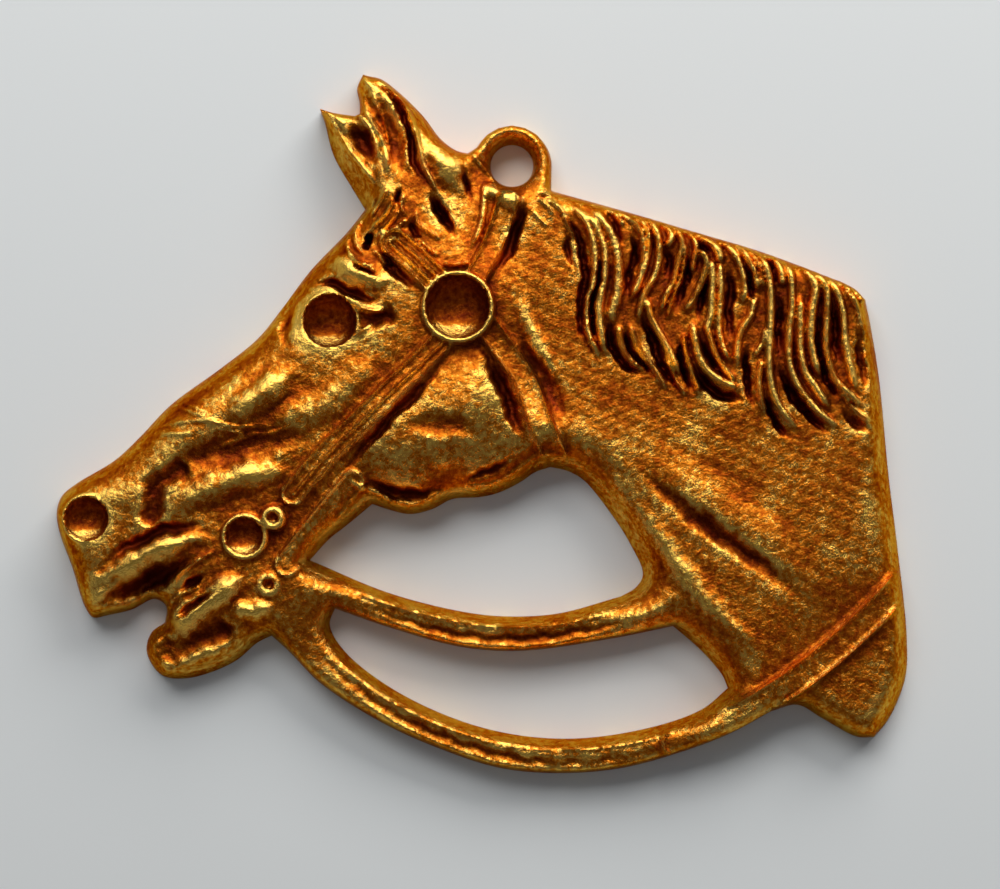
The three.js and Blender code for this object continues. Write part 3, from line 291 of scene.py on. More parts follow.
# A strap is (half width, height, raised lines, points). The lines are places across it, from -1 to 1.
STRAPS = [
    # cheek strap
    (1.2, 0.5, (-0.85, -0.1, 0.85),
     [(-4.0, 7.4), (-6.3, 5.05), (-8.5, 2.95), (-10.9, 0.55), (-12.9, -1.35), (-15.0, -3.3), (-18.4, -7.3)]),
    # strap to the rein
    (1.3, 0.4, (-0.8, 0.8), [(-12.6, -6.2), (-15.15, -9.3), (-17.35, -12.0), (-19.0, -14.2)]),
    # throat latch
    (1.25, 0.55, (-0.85, 0.85),
     [(0.5, 9.1), (2.2, 6.8), (3.5, 5.0), (4.5, 3.2), (5.2, 1.3), (6.0, -0.9), (7.2, -3.6)]),
    # brow band
    (1.35, 0.7, (-0.9, -0.25, 0.35, 0.95), [(-8.5, 17.3), (-6.6, 15.6), (-4.4, 13.4)]),
    # crown strap
    (1.15, 0.6, (-0.85, 0.85), [(2.6, 21.5), (1.8, 19.0), (0.95, 16.7), (-0.6, 13.8)]),
    # lower rein across the neck
    (1.45, 0.75, (-0.85, 0.85),
     [(19.0, -31.6), (24.4, -29.3), (28.9, -26.7), (33.95, -23.0), (38.0, -19.3), (42.2, -15.0)]),
]

# The mane: ridges of the locks and the gaps between them.
LOCKS = [
    (0.28, 0.5, [(6.2, 21.9), (7.7, 20.9), (8.3, 19.6), (8.8, 18.5), (9.0, 17.6)]),
    (0.25, 0.4, [(5.4, 21.9), (6.6, 20.9), (7.0, 20.1)]),
    (0.25, 0.3, [(5.0, 20.6), (5.8, 19.7), (6.5, 19.0)]),
    (0.5, 0.8, [(8.6, 21.6), (10.2, 19.6), (11.0, 17.5), (11.2, 15.2), (10.9, 13.0), (10.2, 11.0),
                (10.3, 9.0), (10.9, 7.5), (11.7, 5.8)]),
    (0.6, 0.9, [(9.8, 20.8), (11.4, 18.7), (12.1, 16.5), (12.1, 14.2), (11.7, 12.2), (11.5, 10.3),
                (11.8, 8.4), (12.1, 7.2), (12.6, 6.0)]),
    (0.75, 0.8, [(10.6, 21.2), (12.4, 19.0), (13.1, 17.2), (13.4, 14.5), (13.3, 12.3), (12.8, 10.4),
                 (12.9, 9.0)]),
    (0.42, 1.0, [(13.4, 9.4), (13.7, 7.4), (14.5, 5.9), (15.6, 5.0)]),
    (0.35, 0.6, [(11.8, 21.6), (13.2, 20.3), (14.0, 19.0)]),
    (0.36, 0.8, [(12.6, 21.3), (14.0, 20.2), (15.2, 19.2), (15.9, 17.6), (15.9, 16.0), (15.6, 14.2),
                 (15.0, 12.6), (14.5, 11.2)]),
    (0.36, 0.8, [(14.0, 21.2), (15.5, 20.0), (16.4, 18.2), (16.4, 16.5), (16.1, 15.0), (15.5, 13.4),
                 (15.0, 11.8)]),
    (0.5, 1.0, [(15.4, 20.9), (16.8, 19.4), (17.4, 17.6), (17.4, 15.8), (16.9, 13.9), (16.0, 12.4),
                (15.5, 10.6), (15.4, 9.3)]),
    (0.5, 1.1, [(16.2, 12.2), (16.5, 10.4), (17.2, 8.9), (18.1, 7.3), (18.8, 5.8), (19.7, 4.3)]),
    (0.36, 0.9, [(14.5, 9.4), (15.2, 7.4), (16.1, 5.9), (16.9, 5.0), (17.5, 4.0), (18.2, 2.8)]),
    (0.28, 0.7, [(18.2, 6.0), (18.8, 4.4), (19.4, 3.2), (20.1, 2.3)]),
    (0.36, 0.9, [(19.8, 8.6), (20.0, 6.7), (20.5, 5.0), (21.1, 3.4), (21.4, 2.2)]),
    (0.55, 1.2, [(20.6, 9.8), (20.9, 7.9), (21.3, 6.2), (22.1, 4.8), (23.2, 3.9), (24.4, 3.3), (25.5, 2.8)]),
    (0.42, 0.9, [(21.9, 9.8), (22.4, 8.0), (23.0, 6.3), (23.9, 4.9), (25.1, 3.6)]),
    (0.55, 0.9, [(22.4, 16.0), (22.7, 14.0), (22.6, 12.0), (22.5, 10.2), (21.9, 8.4)]),
    (0.48, 1.2, [(21.3, 17.0), (22.1, 15.6), (21.8, 14.2), (21.3, 12.8), (20.7, 11.6), (19.7, 10.5)]),
    (0.5, 1.0, [(16.6, 20.6), (18.0, 19.3), (18.7, 18.0), (18.1, 16.8)]),
    (0.42, 0.9, [(17.8, 20.3), (19.2, 18.8), (19.7, 17.3), (19.3, 15.6), (18.8, 13.6), (18.0, 12.0),
                 (17.5, 10.2)]),
    (0.32, 0.7, [(20.0, 17.8), (20.0, 15.8), (19.5, 13.6), (18.6, 11.6), (18.2, 9.6)]),
    (0.42, 0.9, [(18.9, 19.9), (20.4, 18.5), (21.1, 17.2), (20.9, 15.8), (20.5, 14.2)]),
    (0.6, 1.1, [(20.4, 19.3), (21.8, 18.0), (23.0, 17.0), (23.6, 15.2)]),
    (0.45, 0.8, [(23.3, 16.0), (23.5, 13.4), (23.4, 11.0), (23.3, 8.6), (23.8, 6.8), (24.6, 5.4)]),
    (0.48, 0.9, [(23.0, 18.3), (24.7, 16.6), (25.5, 14.8), (25.9, 13.0), (25.6, 11.2)]),
    (0.48, 1.1, [(24.3, 18.0), (25.5, 17.1), (26.2, 15.7), (26.8, 14.4), (27.2, 12.6)]),
    (0.4, 0.8, [(25.5, 17.7), (26.7, 16.2), (27.4, 14.6), (27.7, 12.8)]),
    (0.55, 1.0, [(26.8, 17.3), (27.8, 15.4), (28.3, 13.4), (28.4, 11.0), (28.3, 8.6), (28.2, 5.2),
                 (28.6, 2.6), (29.6, 0.6), (31.3, -1.2)]),
    (0.48, 1.0, [(26.9, 12.6), (26.4, 10.2), (25.5, 8.8), (25.1, 7.2), (25.1, 5.2)]),
    (0.4, 0.8, [(28.0, 9.0), (27.5, 7.4), (26.7, 6.2)]),
    (0.42, 0.9, [(27.5, 6.0), (27.2, 3.8), (27.4, 2.0), (27.9, 0.6)]),
    (0.5, 0.9, [(28.4, 16.7), (29.3, 15.0), (29.6, 13.0)]),
    (0.5, 1.0, [(29.6, 16.3), (30.3, 14.4), (30.5, 11.5), (30.2, 8.6), (30.2, 5.7), (30.9, 3.5), (32.2, 1.6),
                (33.5, 0.3), (35.4, -1.0)]),
    (0.6, 0.9, [(31.3, 12.5), (31.3, 9.5), (31.3, 6.8), (31.7, 4.8), (32.8, 3.0), (34.3, 0.8)]),
    (0.65, 1.1, [(30.8, 16.0), (32.2, 14.5), (32.8, 12.9), (32.5, 11.0), (32.3, 8.6), (32.6, 6.0),
                 (33.4, 3.9)]),
    (0.5, 1.2, [(32.0, 15.6), (33.2, 14.2), (33.9, 12.7), (33.9, 10.9), (33.8, 8.8), (33.8, 6.8), (34.2, 5.1),
                (34.9, 3.6), (36.0, 2.5), (37.6, 1.1)]),
    (0.28, 0.5, [(34.9, 3.2), (35.8, 1.8), (36.9, 0.7), (38.3, -0.2)]),
    (0.5, 0.9, [(33.6, 15.0), (34.9, 12.6), (35.5, 10.4), (35.6, 8.4), (35.9, 6.4), (36.3, 4.6),
                (36.8, 2.6)]),
    (0.42, 0.9, [(34.9, 14.3), (36.2, 12.5), (37.0, 10.9), (37.4, 9.4), (38.0, 7.7)]),
    (0.48, 0.8, [(36.0, 13.8), (37.2, 12.6), (37.9, 11.2), (38.1, 9.5)]),
]
GAPS = [
    (0.6, 1.4, [(7.6, 21.2), (8.9, 19.3), (9.7, 17.3), (10.15, 15.4), (10.0, 12.8), (9.7, 10.8), (9.9, 8.9),
                (10.5, 7.2), (11.3, 5.6)]),
    (0.45, 0.9, [(8.3, 18.8), (8.5, 16.8), (9.1, 14.4)]),
    (0.36, 1.2, [(11.6, 17.6), (11.7, 15.4), (11.3, 13.0), (10.8, 11.0), (10.9, 9.2), (11.4, 7.4),
                 (12.0, 6.2)]),
    (0.55, 0.9, [(11.2, 21.0), (12.4, 20.0), (13.4, 18.6), (13.9, 17.0)]),
    (0.5, 1.2, [(14.8, 19.0), (15.1, 17.2), (14.8, 15.2), (14.4, 13.2), (14.0, 11.6)]),
    (0.6, 1.6, [(12.5, 10.2), (12.6, 8.0), (13.2, 6.4), (14.4, 5.1), (16.2, 4.2)]),
    (0.4, 1.3, [(13.9, 9.4), (14.4, 7.4), (15.2, 6.1), (16.2, 4.9), (17.2, 3.6)]),
    (0.65, 1.7, [(15.8, 10.8), (16.2, 9.0), (17.0, 7.2), (17.8, 5.4), (18.6, 3.8), (19.8, 2.2)]),
    (0.4, 1.3, [(19.2, 8.0), (19.5, 6.0), (20.0, 4.2), (20.7, 2.4)]),
    (0.75, 1.8, [(21.0, 5.4), (21.7, 3.8), (22.9, 2.7), (24.4, 2.2), (26.0, 1.6)]),
    (0.36, 1.0, [(21.6, 8.4), (22.1, 6.4), (22.9, 5.1), (24.1, 4.0)]),
    (0.5, 1.0, [(18.0, 17.2), (18.5, 15.6), (17.9, 13.6)]),
    (0.5, 1.0, [(20.4, 16.6), (20.2, 14.2), (19.6, 12.2), (18.9, 10.4)]),
    (0.45, 0.9, [(21.2, 17.4), (22.5, 16.2)]),
    (0.45, 1.1, [(22.0, 13.8), (21.6, 11.4), (21.0, 9.6)]),
    (0.6, 1.2, [(24.3, 15.8), (24.5, 13.2), (24.4, 11.0), (24.3, 9.0), (24.2, 7.0)]),
    (0.4, 1.1, [(26.5, 15.0), (26.5, 12.8), (26.9, 11.0)]),
    (0.36, 1.0, [(27.0, 17.0), (28.0, 15.9), (28.8, 14.4), (29.0, 13.0)]),
    (0.5, 1.3, [(29.2, 12.8), (29.3, 10.2), (29.2, 8.2), (29.2, 5.8)]),
    (0.65, 1.7, [(29.2, 5.6), (29.8, 3.6), (31.0, 1.8), (32.4, 0.2), (34.4, -1.7)]),
    (0.5, 1.4, [(26.3, 7.6), (25.9, 5.2), (26.2, 3.2), (26.8, 0.9)]),
    (0.5, 1.4, [(27.9, 2.8), (28.3, 0.6), (29.4, -1.0), (30.6, -2.1)]),
    (0.42, 1.0, [(33.2, 12.0), (33.1, 9.0), (33.1, 7.0), (33.5, 5.2), (34.3, 3.3), (35.3, 1.8), (36.8, 0.4)]),
    (0.5, 1.2, [(34.7, 12.0), (34.8, 9.4), (34.9, 7.2), (35.3, 5.0)]),
    (0.6, 1.2, [(36.8, 9.2), (37.2, 7.0), (37.5, 4.8), (37.8, 2.4)]),
    (0.6, 1.0, [(35.2, 1.2), (36.8, -0.4), (38.6, -1.5)]),
    (0.25, 0.7, [(35.5, 13.5), (36.5, 11.9)]),
    (0.3, 0.5, [(5.0, 22.1), (6.0, 22.1), (7.0, 22.05)]),
]

# (x, y, radius of the rim, radius of the bowl, height of the rim, depth of the bowl)
CUPS = [
    (-2.3, 10.85, 3.4, 3.15, 6.9, 2.4),  # rosette
    (-14.85, 9.6, 2.8, 2.62, 5.35, 2.2),  # eye
    (-23.1, -11.5, 2.1, 1.85, 5.5, 1.3),  # boss of the bit
    (-20.3, -9.7, 0.95, 0.6, 5.8, 0.7),  # upper ring of the bit
    (-20.8, -16.2, 0.9, 0.55, 4.9, 0.7),  # lower ring of the bit
    (-38.65, -9.75, 2.35, 2.15, 4.5, 1.6),  # nostril
]

# ------------------------------------------------------------------ how the metal is worked

THINNEST = 1.1  # least thickness of metal
DRAFT_SLOPE = 0.35  # most that a draft changes along its edge, per unit of length
NARROW_SHARE = 0.32  # largest share of the metal's width that a draft takes
WALL_LEVELS = [0.05, 0.16, 0.4, 0.72]  # rows of the walls, as shares of the way down
WALL_BULGE = 0.72  # below 1 the walls swell outwards
BODY_ROUNDNESS = 0.62  # exponent of the rounding towards the edges
FORM_SOFTNESS = 0.05  # larger values blend neighbouring forms more
VEIN_HALF, VEIN_RISE = 0.26, 0.24
STRAP_BODY = 0.4  # height of a strap's middle, as a share of the strap's height
STRAP_LINE_RISE = 1.3  # height of its raised lines, as the same share
STRAP_LINE_WIDTH = 0.21
BOWL_ROUNDNESS = 0.6  # exponent of a cup's bowl
LIP_SPREAD = 1.6  # how far a cup's rim runs out, in widths of its lip
UNEVENNESS = 0.035  # height of the lumps left by the mould
SMOOTH_EDGE = 0.8  # strip along the edges that is free of lumps
FINE_LINE = 0.7  # strokes up to this half width get points along their middle

# Smooth places need fewer points: (x, y, half width, half height).
SMOOTH_PLACES = [(26.0, -9.0, 14.0, 8.0), (34.0, -16.0, 8.0, 8.0), (37.0, -27.0, 5.0, 4.0)]

# Wear runs from 0 on rubbed ridges to 1 in deep hollows; inside the cups it is painted light instead: painted
# shade over the bowl, with a painted highlight on its lower wall.
WEAR_CELL = 0.3  # cell of the grid that the surroundings are averaged on
NEAR_RADIUS, NEAR_SHARE = 0.9, 0.62
WIDE_RADIUS, WIDE_SHARE = 3.0, 0.2
WALL_WEAR = 0.38
EDGE_WEAR_WIDTH = 1.3
BOWL_PATINA_AND_SHADE, BOWL_LOWER_HIGHLIGHT = 0.74, 0.5  # painted shade over the patina inside the cups, and the painted highlight that lightens their lower wall, which faces the light

# ------------------------------------------------------------------ curves


def smooth_curve(points, step):
    """Centripetal Catmull-Rom curve through the points, sampled evenly."""
    p = np.array(points, float)
    p = np.vstack([2 * p[0] - p[1], p, 2 * p[-1] - p[-2]])
    fine = []
    for a, b, c, d in zip(p, p[1:], p[2:], p[3:]):
        t0, t1 = 0.0, np.sqrt(np.linalg.norm(b - a))
        t2 = t1 + np.sqrt(np.linalg.norm(c - b))
        t3 = t2 + np.sqrt(np.linalg.norm(d - c))
        t = np.linspace(t1, t2, 40, endpoint=False)[:, None]
        ab = (a * (t1 - t) + b * (t - t0)) / (t1 - t0)
        bc = (b * (t2 - t) + c * (t - t1)) / (t2 - t1)
        cd = (c * (t3 - t) + d * (t - t2)) / (t3 - t2)
        abc = (ab * (t2 - t) + bc * (t - t0)) / (t2 - t0)
        bcd = (bc * (t3 - t) + cd * (t - t1)) / (t3 - t1)
        fine.append((abc * (t2 - t) + bcd * (t - t1)) / (t2 - t1))
    fine = np.vstack(fine + [p[-2:-1]])
    run = np.concatenate([[0], np.cumsum(np.linalg.norm(np.diff(fine, axis=0), axis=1))])
    count = max(2, round(run[-1] / step))
    even = np.linspace(0, run[-1], count + 1)
    return np.column_stack([np.interp(even, run, fine[:, k]) for k in (0, 1)])


def arc(radius, start, end, step):
    """Arc around the middle of the hanging ring; the angles are in degrees."""
    count = max(12, round(math.radians(abs(end - start)) * radius / step))
    turn = np.radians(np.linspace(start, end, count + 1))
    return np.column_stack([RING_CENTRE[0] + radius * np.cos(turn), RING_CENTRE[1] + radius * np.sin(turn)])


def closed_edge(stretches, step):
    """Points and drafts of a closed edge on the flat back."""
    points, drafts = [], []
    for draft, shape in stretches:
        run = arc(step=step, **shape) if isinstance(shape, dict) else smooth_curve(shape, step)
        for point in run:
            if not points or np.linalg.norm(point - points[-1]) > 0.35 * step:
                points.append(point)
                drafts.append(draft)
    if np.linalg.norm(points[0] - points[-1]) < 0.35 * step:
        points.pop()
        drafts.pop()
    return np.array(points), np.array(drafts)


def loop_distance(loops, x, y):
    """Distance from every point to the nearest of the closed loops."""
    nearest = np.full(x.shape, np.inf)
    for loop in loops:
        a = loop
        d = np.roll(loop, -1, axis=0) - a
        length2 = (d ** 2).sum(1)
        for start in range(0, len(x), 4000):
            px = x[start:start + 4000, None] - a[:, 0]
            py = y[start:start + 4000, None] - a[:, 1]
            t = np.clip((px * d[:, 0] + py * d[:, 1]) / length2, 0, 1)
            gap2 = (px - t * d[:, 0]) ** 2 + (py - t * d[:, 1]) ** 2
            part = slice(start, start + 4000)
            nearest[part] = np.minimum(nearest[part], np.sqrt(gap2.min(1)))
    return nearest


def inward_normals(edge, outer):
    """Unit directions from every edge point into the metal."""
    along = np.roll(edge, -1, axis=0) - np.roll(edge, 1, axis=0)
    along /= np.linalg.norm(along, axis=1)[:, None]
    after = np.roll(edge, -1, axis=0)
    clockwise = (edge[:, 0] * after[:, 1] - after[:, 0] * edge[:, 1]).sum() < 0
    side = 1 if clockwise == outer else -1
    return side * np.column_stack([along[:, 1], -along[:, 0]])


def drafts_that_fit(edge, drafts, normals, edges):
    """Where the metal is narrow, at the tips of the ears, the draft shrinks to fit."""
    width = np.full(len(edge), 0.4)
    open_ = np.ones(len(edge), bool)
    while (open_ & (width < drafts / NARROW_SHARE)).any():
        probe = edge + normals * width[:, None]
        near = loop_distance(edges, probe[:, 0], probe[:, 1])
        open_ &= (near >= width * 0.55) & (width < drafts / NARROW_SHARE)
        width[open_] += 0.2
    fitted = np.minimum(drafts, width * NARROW_SHARE)
    gaps = np.linalg.norm(edge - np.roll(edge, 1, axis=0), axis=1)
    n = len(edge)
    for k in range(2 * n):
        fitted[k % n] = min(fitted[k % n], fitted[k % n - 1] + DRAFT_SLOPE * gaps[k % n])
    for k in range(2 * n, 0, -1):
        fitted[k % n] = min(fitted[k % n], fitted[(k + 1) % n] + DRAFT_SLOPE * gaps[(k + 1) % n])
    return fitted


def all_edges(step):
    """The four closed edges on the back, and the same edges where the wall meets the face."""
    made = [closed_edge(stretches, step) for stretches in EDGES]
    back = [points for points, _ in made]
    coarse = [points[::3] for points in back]
    face = []
    for i, (points, drafts) in enumerate(made):
        normals = inward_normals(points, i == 0)
        fitted = drafts_that_fit(points, drafts, normals, coarse)
        face.append(untangled(points + normals * fitted[:, None], points))
    return back, face


def untangled(loop, guide):
    """Eases a drafted edge where it folds over itself, until it runs the same way as its guide."""
    loop = loop.copy()
    guide_run = np.roll(guide, -1, axis=0) - guide
    for _ in range(200):
        run = np.roll(loop, -1, axis=0) - loop
        folded = (run * guide_run).sum(1) < 0.12 * (guide_run ** 2).sum(1)
        if not folded.any():
            break
        near = folded.copy()
        for k in (-2, -1, 1, 2, 3):
            near |= np.roll(folded, k)
        eased = (np.roll(loop, 1, axis=0) + 2 * loop + np.roll(loop, -1, axis=0)) / 4
        loop[near] = eased[near]
    return loop


# ------------------------------------------------------------------ the relief


def soft_step(value, low, high):
    t = np.clip((value - low) / (high - low), 0, 1)
    return t * t * (3 - 2 * t)


def bell(r):
    """Profile of a soft swelling or hollow, from 1 in the middle to 0 at its side."""
    return np.where(r < 1, (1 - r * r) ** 2, 0)


def dome(r):
    """Profile of a crisp ridge with steeper sides."""
    return np.where(r < 1.3, np.maximum(0, 1 - r * r * (1.3 - 0.3 * r * r)), 0)


def place_on(points, reach, x, y):
    """The points within reach of a curve: which, how far left, how far along (0 to 1); and its length."""
    path = smooth_curve(points, 0.5)
    low, high = path.min(0) - reach, path.max(0) + reach
    near = np.flatnonzero((x > low[0]) & (x < high[0]) & (y > low[1]) & (y < high[1]))
    a = path[:-1]
    d = path[1:] - a
    px = x[near, None] - a[:, 0]
    py = y[near, None] - a[:, 1]
    t = np.clip((px * d[:, 0] + py * d[:, 1]) / (d ** 2).sum(1), 0, 1)
    gx, gy = px - t * d[:, 0], py - t * d[:, 1]
    gap2 = gx ** 2 + gy ** 2
    best = gap2.argmin(1)
    rows = np.arange(len(near))
    side = np.sign(d[best, 0] * gy[rows, best] - d[best, 1] * gx[rows, best])
    left = side * np.sqrt(gap2[rows, best])
    along = (best + t[rows, best]) / len(a)
    return near, left, along, 0.5 * len(a)


def ends_fade(along, fade):
    return soft_step(along, 0, fade) * soft_step(1 - along, 0, fade) if fade else np.ones_like(along)


def stroke_height(strokes, x, y, profile, fade):
    """Height of the highest stroke at every point."""
    height = np.zeros_like(x)
    for half, rise, points in strokes:
        near, left, along, length = place_on(points, 1.3 * half, x, y)
        ends = ends_fade(along, fade if length > 4 * half else 0)
        own = rise * ends * profile(np.abs(left) / (half * (0.45 + 0.55 * ends)))
        height[near] = np.maximum(height[near], own)
    return height


def strap_height(x, y):
    """Height of the straps: a low body with raised lines along it."""
    height = np.zeros_like(x)
    for half, rise, lines, points in STRAPS:
        near, left, along, _ = place_on(points, 1.3 * half, x, y)
        r = left / half
        own = rise * STRAP_BODY * (1 - soft_step(np.abs(r), 0.88, 1.12))
        for line in lines:
            ridge = np.exp(-((r + line) * half / STRAP_LINE_WIDTH) ** 2)
            own = np.maximum(own, rise * STRAP_LINE_RISE * ridge)
        height[near] = np.maximum(height[near], own)
    return height


def body_height(x, y, inward):
    """Height of the uncarved body, rounded down towards its edges."""
    weights = np.zeros_like(x)
    sums = np.zeros((3,) + x.shape)
    for px, py, top, edge, roll, reach in FORM:
        weight = 1 / (FORM_SOFTNESS + ((x - px) ** 2 + (y - py) ** 2) / reach ** 2) ** 2
        weights += weight
        sums += weight * np.array([top, edge, roll])[:, None]
    top, edge, roll = sums / weights
    t = np.minimum(1, inward / roll)
    return edge + (top - edge) * (1 - (1 - t) ** 2) ** BODY_ROUNDNESS


def sink_cup(z, x, y, cup):
    """Raises a cup's rim out of the face and sinks its bowl."""
    cx, cy, rim, bowl, top, depth = cup
    r = np.hypot(x - cx, y - cy)
    outer = rim + LIP_SPREAD * (rim - bowl)
    floor = top - depth * np.maximum(0, 1 - (r / bowl) ** 2) ** BOWL_ROUNDNESS
    blend = 1 - soft_step(r, rim, outer)
    ring = z + (np.maximum(top, z) - z) * blend
    return np.where(r < bowl, np.minimum(floor, top), np.where(r < outer, ring, z))


def hand_drift(x, y):
    """Points moved sideways by the wander of hand-cut lines."""
    across = 0.11 * np.sin(1.7 * y + 0.6 * x) + 0.06 * np.sin(4.1 * y - 2.3 * x + 1.0)
    along = 0.11 * np.sin(1.9 * x - 0.5 * y + 2.0) + 0.06 * np.sin(3.7 * x + 2.9 * y)
    return x + across, y + along


def cast_unevenness(x, y):
    """Low lumps left by the mould, in millimetres."""
    lumps = np.sin(2.9 * x + 1.3 * y) * np.sin(2.3 * y - 1.1 * x + 0.7)
    lumps += 0.6 * np.sin(5.3 * x - 3.1 * y + 2.0) * np.sin(4.7 * y + 2.2 * x)
    lumps += 0.4 * np.sin(9.1 * x + 4.3 * y) * np.sin(8.3 * y - 5.9 * x + 1.4)
    return UNEVENNESS * lumps


def relief_height(x, y, inward):
    """Height of the face at every point; inward is each point's distance from the face's edge."""
    steady, wandering = (x, y), hand_drift(x, y)
    z = body_height(x, y, inward) + cast_unevenness(x, y) * soft_step(inward, 0, SMOOTH_EDGE)
    veins = [(VEIN_HALF, VEIN_RISE, points) for points in VEINS]
    # (share of the strokes' height, strokes, where, profile, fade at their ends)
    layers = [
        (1, SWELLINGS, wandering, bell, 0.4),
        (-1, HOLLOWS, wandering, bell, 0.45),
        (1, RIMS, steady, dome, 0.2),
        (1, veins, steady, dome, 0.2),
        (1, FORELOCK, steady, dome, 0.2),
        (-1, FORELOCK_HOLLOWS, wandering, bell, 0.4),
        (0.85, LOCKS, steady, dome, 0.12),
        (-0.72, GAPS, wandering, bell, 0.4),
    ]
    for share, strokes, place, profile, fade in layers:
        z += share * stroke_height(strokes, *place, profile, fade)
    z += strap_height(x, y)
    for cup in CUPS:
        z = sink_cup(z, x, y, cup)
    return np.maximum(z, THINNEST)


# ------------------------------------------------------------------ mesh of the casting


def on_face(face, points):
    """Which points lie inside the face's outer edge and outside its openings."""
    inside = np.zeros(len(points), bool)
    for loop in face:
        a, b = loop, np.roll(loop, -1, axis=0)
        for start in range(0, len(points), 4000):
            x, y = points[start:start + 4000, 0, None], points[start:start + 4000, 1, None]
            cut = (a[:, 1] > y) != (b[:, 1] > y)
            rise = np.where(b[:, 1] == a[:, 1], 1, b[:, 1] - a[:, 1])
            crossing = a[:, 0] + (y - a[:, 1]) * (b[:, 0] - a[:, 0]) / rise
            inside[start:start + 4000] ^= (cut & (crossing < x)).sum(1) % 2 == 1
    return inside


def carved_lines(step):
    """Points along the crests and bottoms of the fine carving, so that its lines come out crisp."""
    lines = []
    for half, _, points in LOCKS + GAPS + RIMS + FORELOCK + FORELOCK_HOLLOWS:
        if half <= FINE_LINE:
            lines.append(smooth_curve(points, step))
    for points in VEINS:
        lines.append(smooth_curve(points, step))
    for half, _, raised, points in STRAPS:
        path = smooth_curve(points, step)
        along = np.gradient(path, axis=0)
        along /= np.linalg.norm(along, axis=1)[:, None]
        across = np.column_stack([along[:, 1], -along[:, 0]])
        lines += [path + across * half * place for place in raised]
    return np.vstack(lines)


def spread(points, first, closest):
    """Drops the points that lie too near one of the first."""
    tree = KDTree(len(first))
    for i, (x, y) in enumerate(first):
        tree.insert((x, y, 0), i)
    tree.balance()
    return points[[tree.find((x, y, 0))[2] > closest for x, y in points]]


def thinned(points, closest):
    """Keeps one point in each small square."""
    _, kept = np.unique(np.floor(points / closest).astype(int), axis=0, return_index=True)
    return points[np.sort(kept)]


def face_points(face, fine, coarse):
    """Points in rows over the face, closer together where it is carved finely, and along the carved lines."""
    rows = []
    for spacing, smooth in ((fine, False), (coarse, True)):
        rise = spacing * math.sqrt(3) / 2
        low, high = face[0].min(0), face[0].max(0)
        for j in range(int((high[1] - low[1]) / rise)):
            offset = 0.5 * spacing if j % 2 else 0
            x = np.arange(low[0] + offset, high[0], spacing)
            y = low[1] + (j + 0.5) * rise
            in_smooth = np.zeros(len(x), bool)
            for cx, cy, rx, ry in SMOOTH_PLACES:
                in_smooth |= ((x - cx) / rx) ** 2 + ((y - cy) / ry) ** 2 < 1
            x = x[in_smooth == smooth]
            rows.append(np.column_stack([x, np.full(len(x), y)]))
    rows = np.vstack(rows)
    lines = thinned(carved_lines(fine), 0.6 * fine)
    lines = lines[on_face(face, lines)]
    rows = rows[on_face(face, rows)]
    return np.vstack([lines, spread(rows, lines, 0.62 * fine)])


def fit_to_frame(points):
    """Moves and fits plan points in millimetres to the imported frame's box, in metres."""
    low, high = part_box(NODE)
    own_low, own_high = points.min(0), points.max(0)
    share = (points - own_low) / (own_high - own_low)
    return share * (np.array(high[:2]) - np.array(low[:2])) + np.array(low[:2])


def casting_mesh(fine, coarse, edge_step):
    """Vertices and faces of the whole casting, in metres."""
    back, face = all_edges(edge_step)
    sizes = [len(loop) for loop in face]
    inner = face_points(face, fine, coarse)
    inward = loop_distance([loop[::2] for loop in face], inner[:, 0], inner[:, 1])
    clear = inward > 0.45 * fine
    inner, inward = inner[clear], inward[clear]
    rim = np.vstack(face)
    plan = np.vstack([rim, inner])
    sides = []
    start = 0
    for size in sizes:
        sides += [(start + i, start + (i + 1) % size) for i in range(size)]
        start += size
    solved = delaunay_2d_cdt([Vector(p) for p in plan.tolist()], sides, [], 0, 1e-6, True)
    verts, triangles, origins = solved[0], np.array(solved[2]), solved[3]
    if len(verts) != len(plan):
        raise RuntimeError("the face's points do not match its triangles")
    source = np.array([o[0] for o in origins])
    triangles = source[triangles]
    triangles = triangles[on_metal(plan[triangles].mean(1), triangles, len(rim), face)]
    flip = turn_of(plan, triangles) < 0
    triangles[flip] = triangles[flip][:, ::-1]
    inward = np.concatenate([np.zeros(len(rim)), inward])
    z = relief_height(plan[:, 0], plan[:, 1], inward)
    z = np.minimum(z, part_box(NODE)[1][2] / MM)
    return join_walls(plan, z, triangles, back, sizes), inward


def turn_of(plan, triangles):
    """Positive where a triangle runs anticlockwise in plan."""
    a, b, c = (plan[triangles[:, k]] for k in range(3))
    return (b[:, 0] - a[:, 0]) * (c[:, 1] - a[:, 1]) - (b[:, 1] - a[:, 1]) * (c[:, 0] - a[:, 0])


def on_metal(centres, triangles, rim_count, face):
    """Triangles between edge points alone may lie in an opening, so their centres are tested."""
    keep = np.ones(len(triangles), bool)
    doubtful = (triangles < rim_count).all(1)
    keep[doubtful] = on_face(face, centres[doubtful])
    return keep


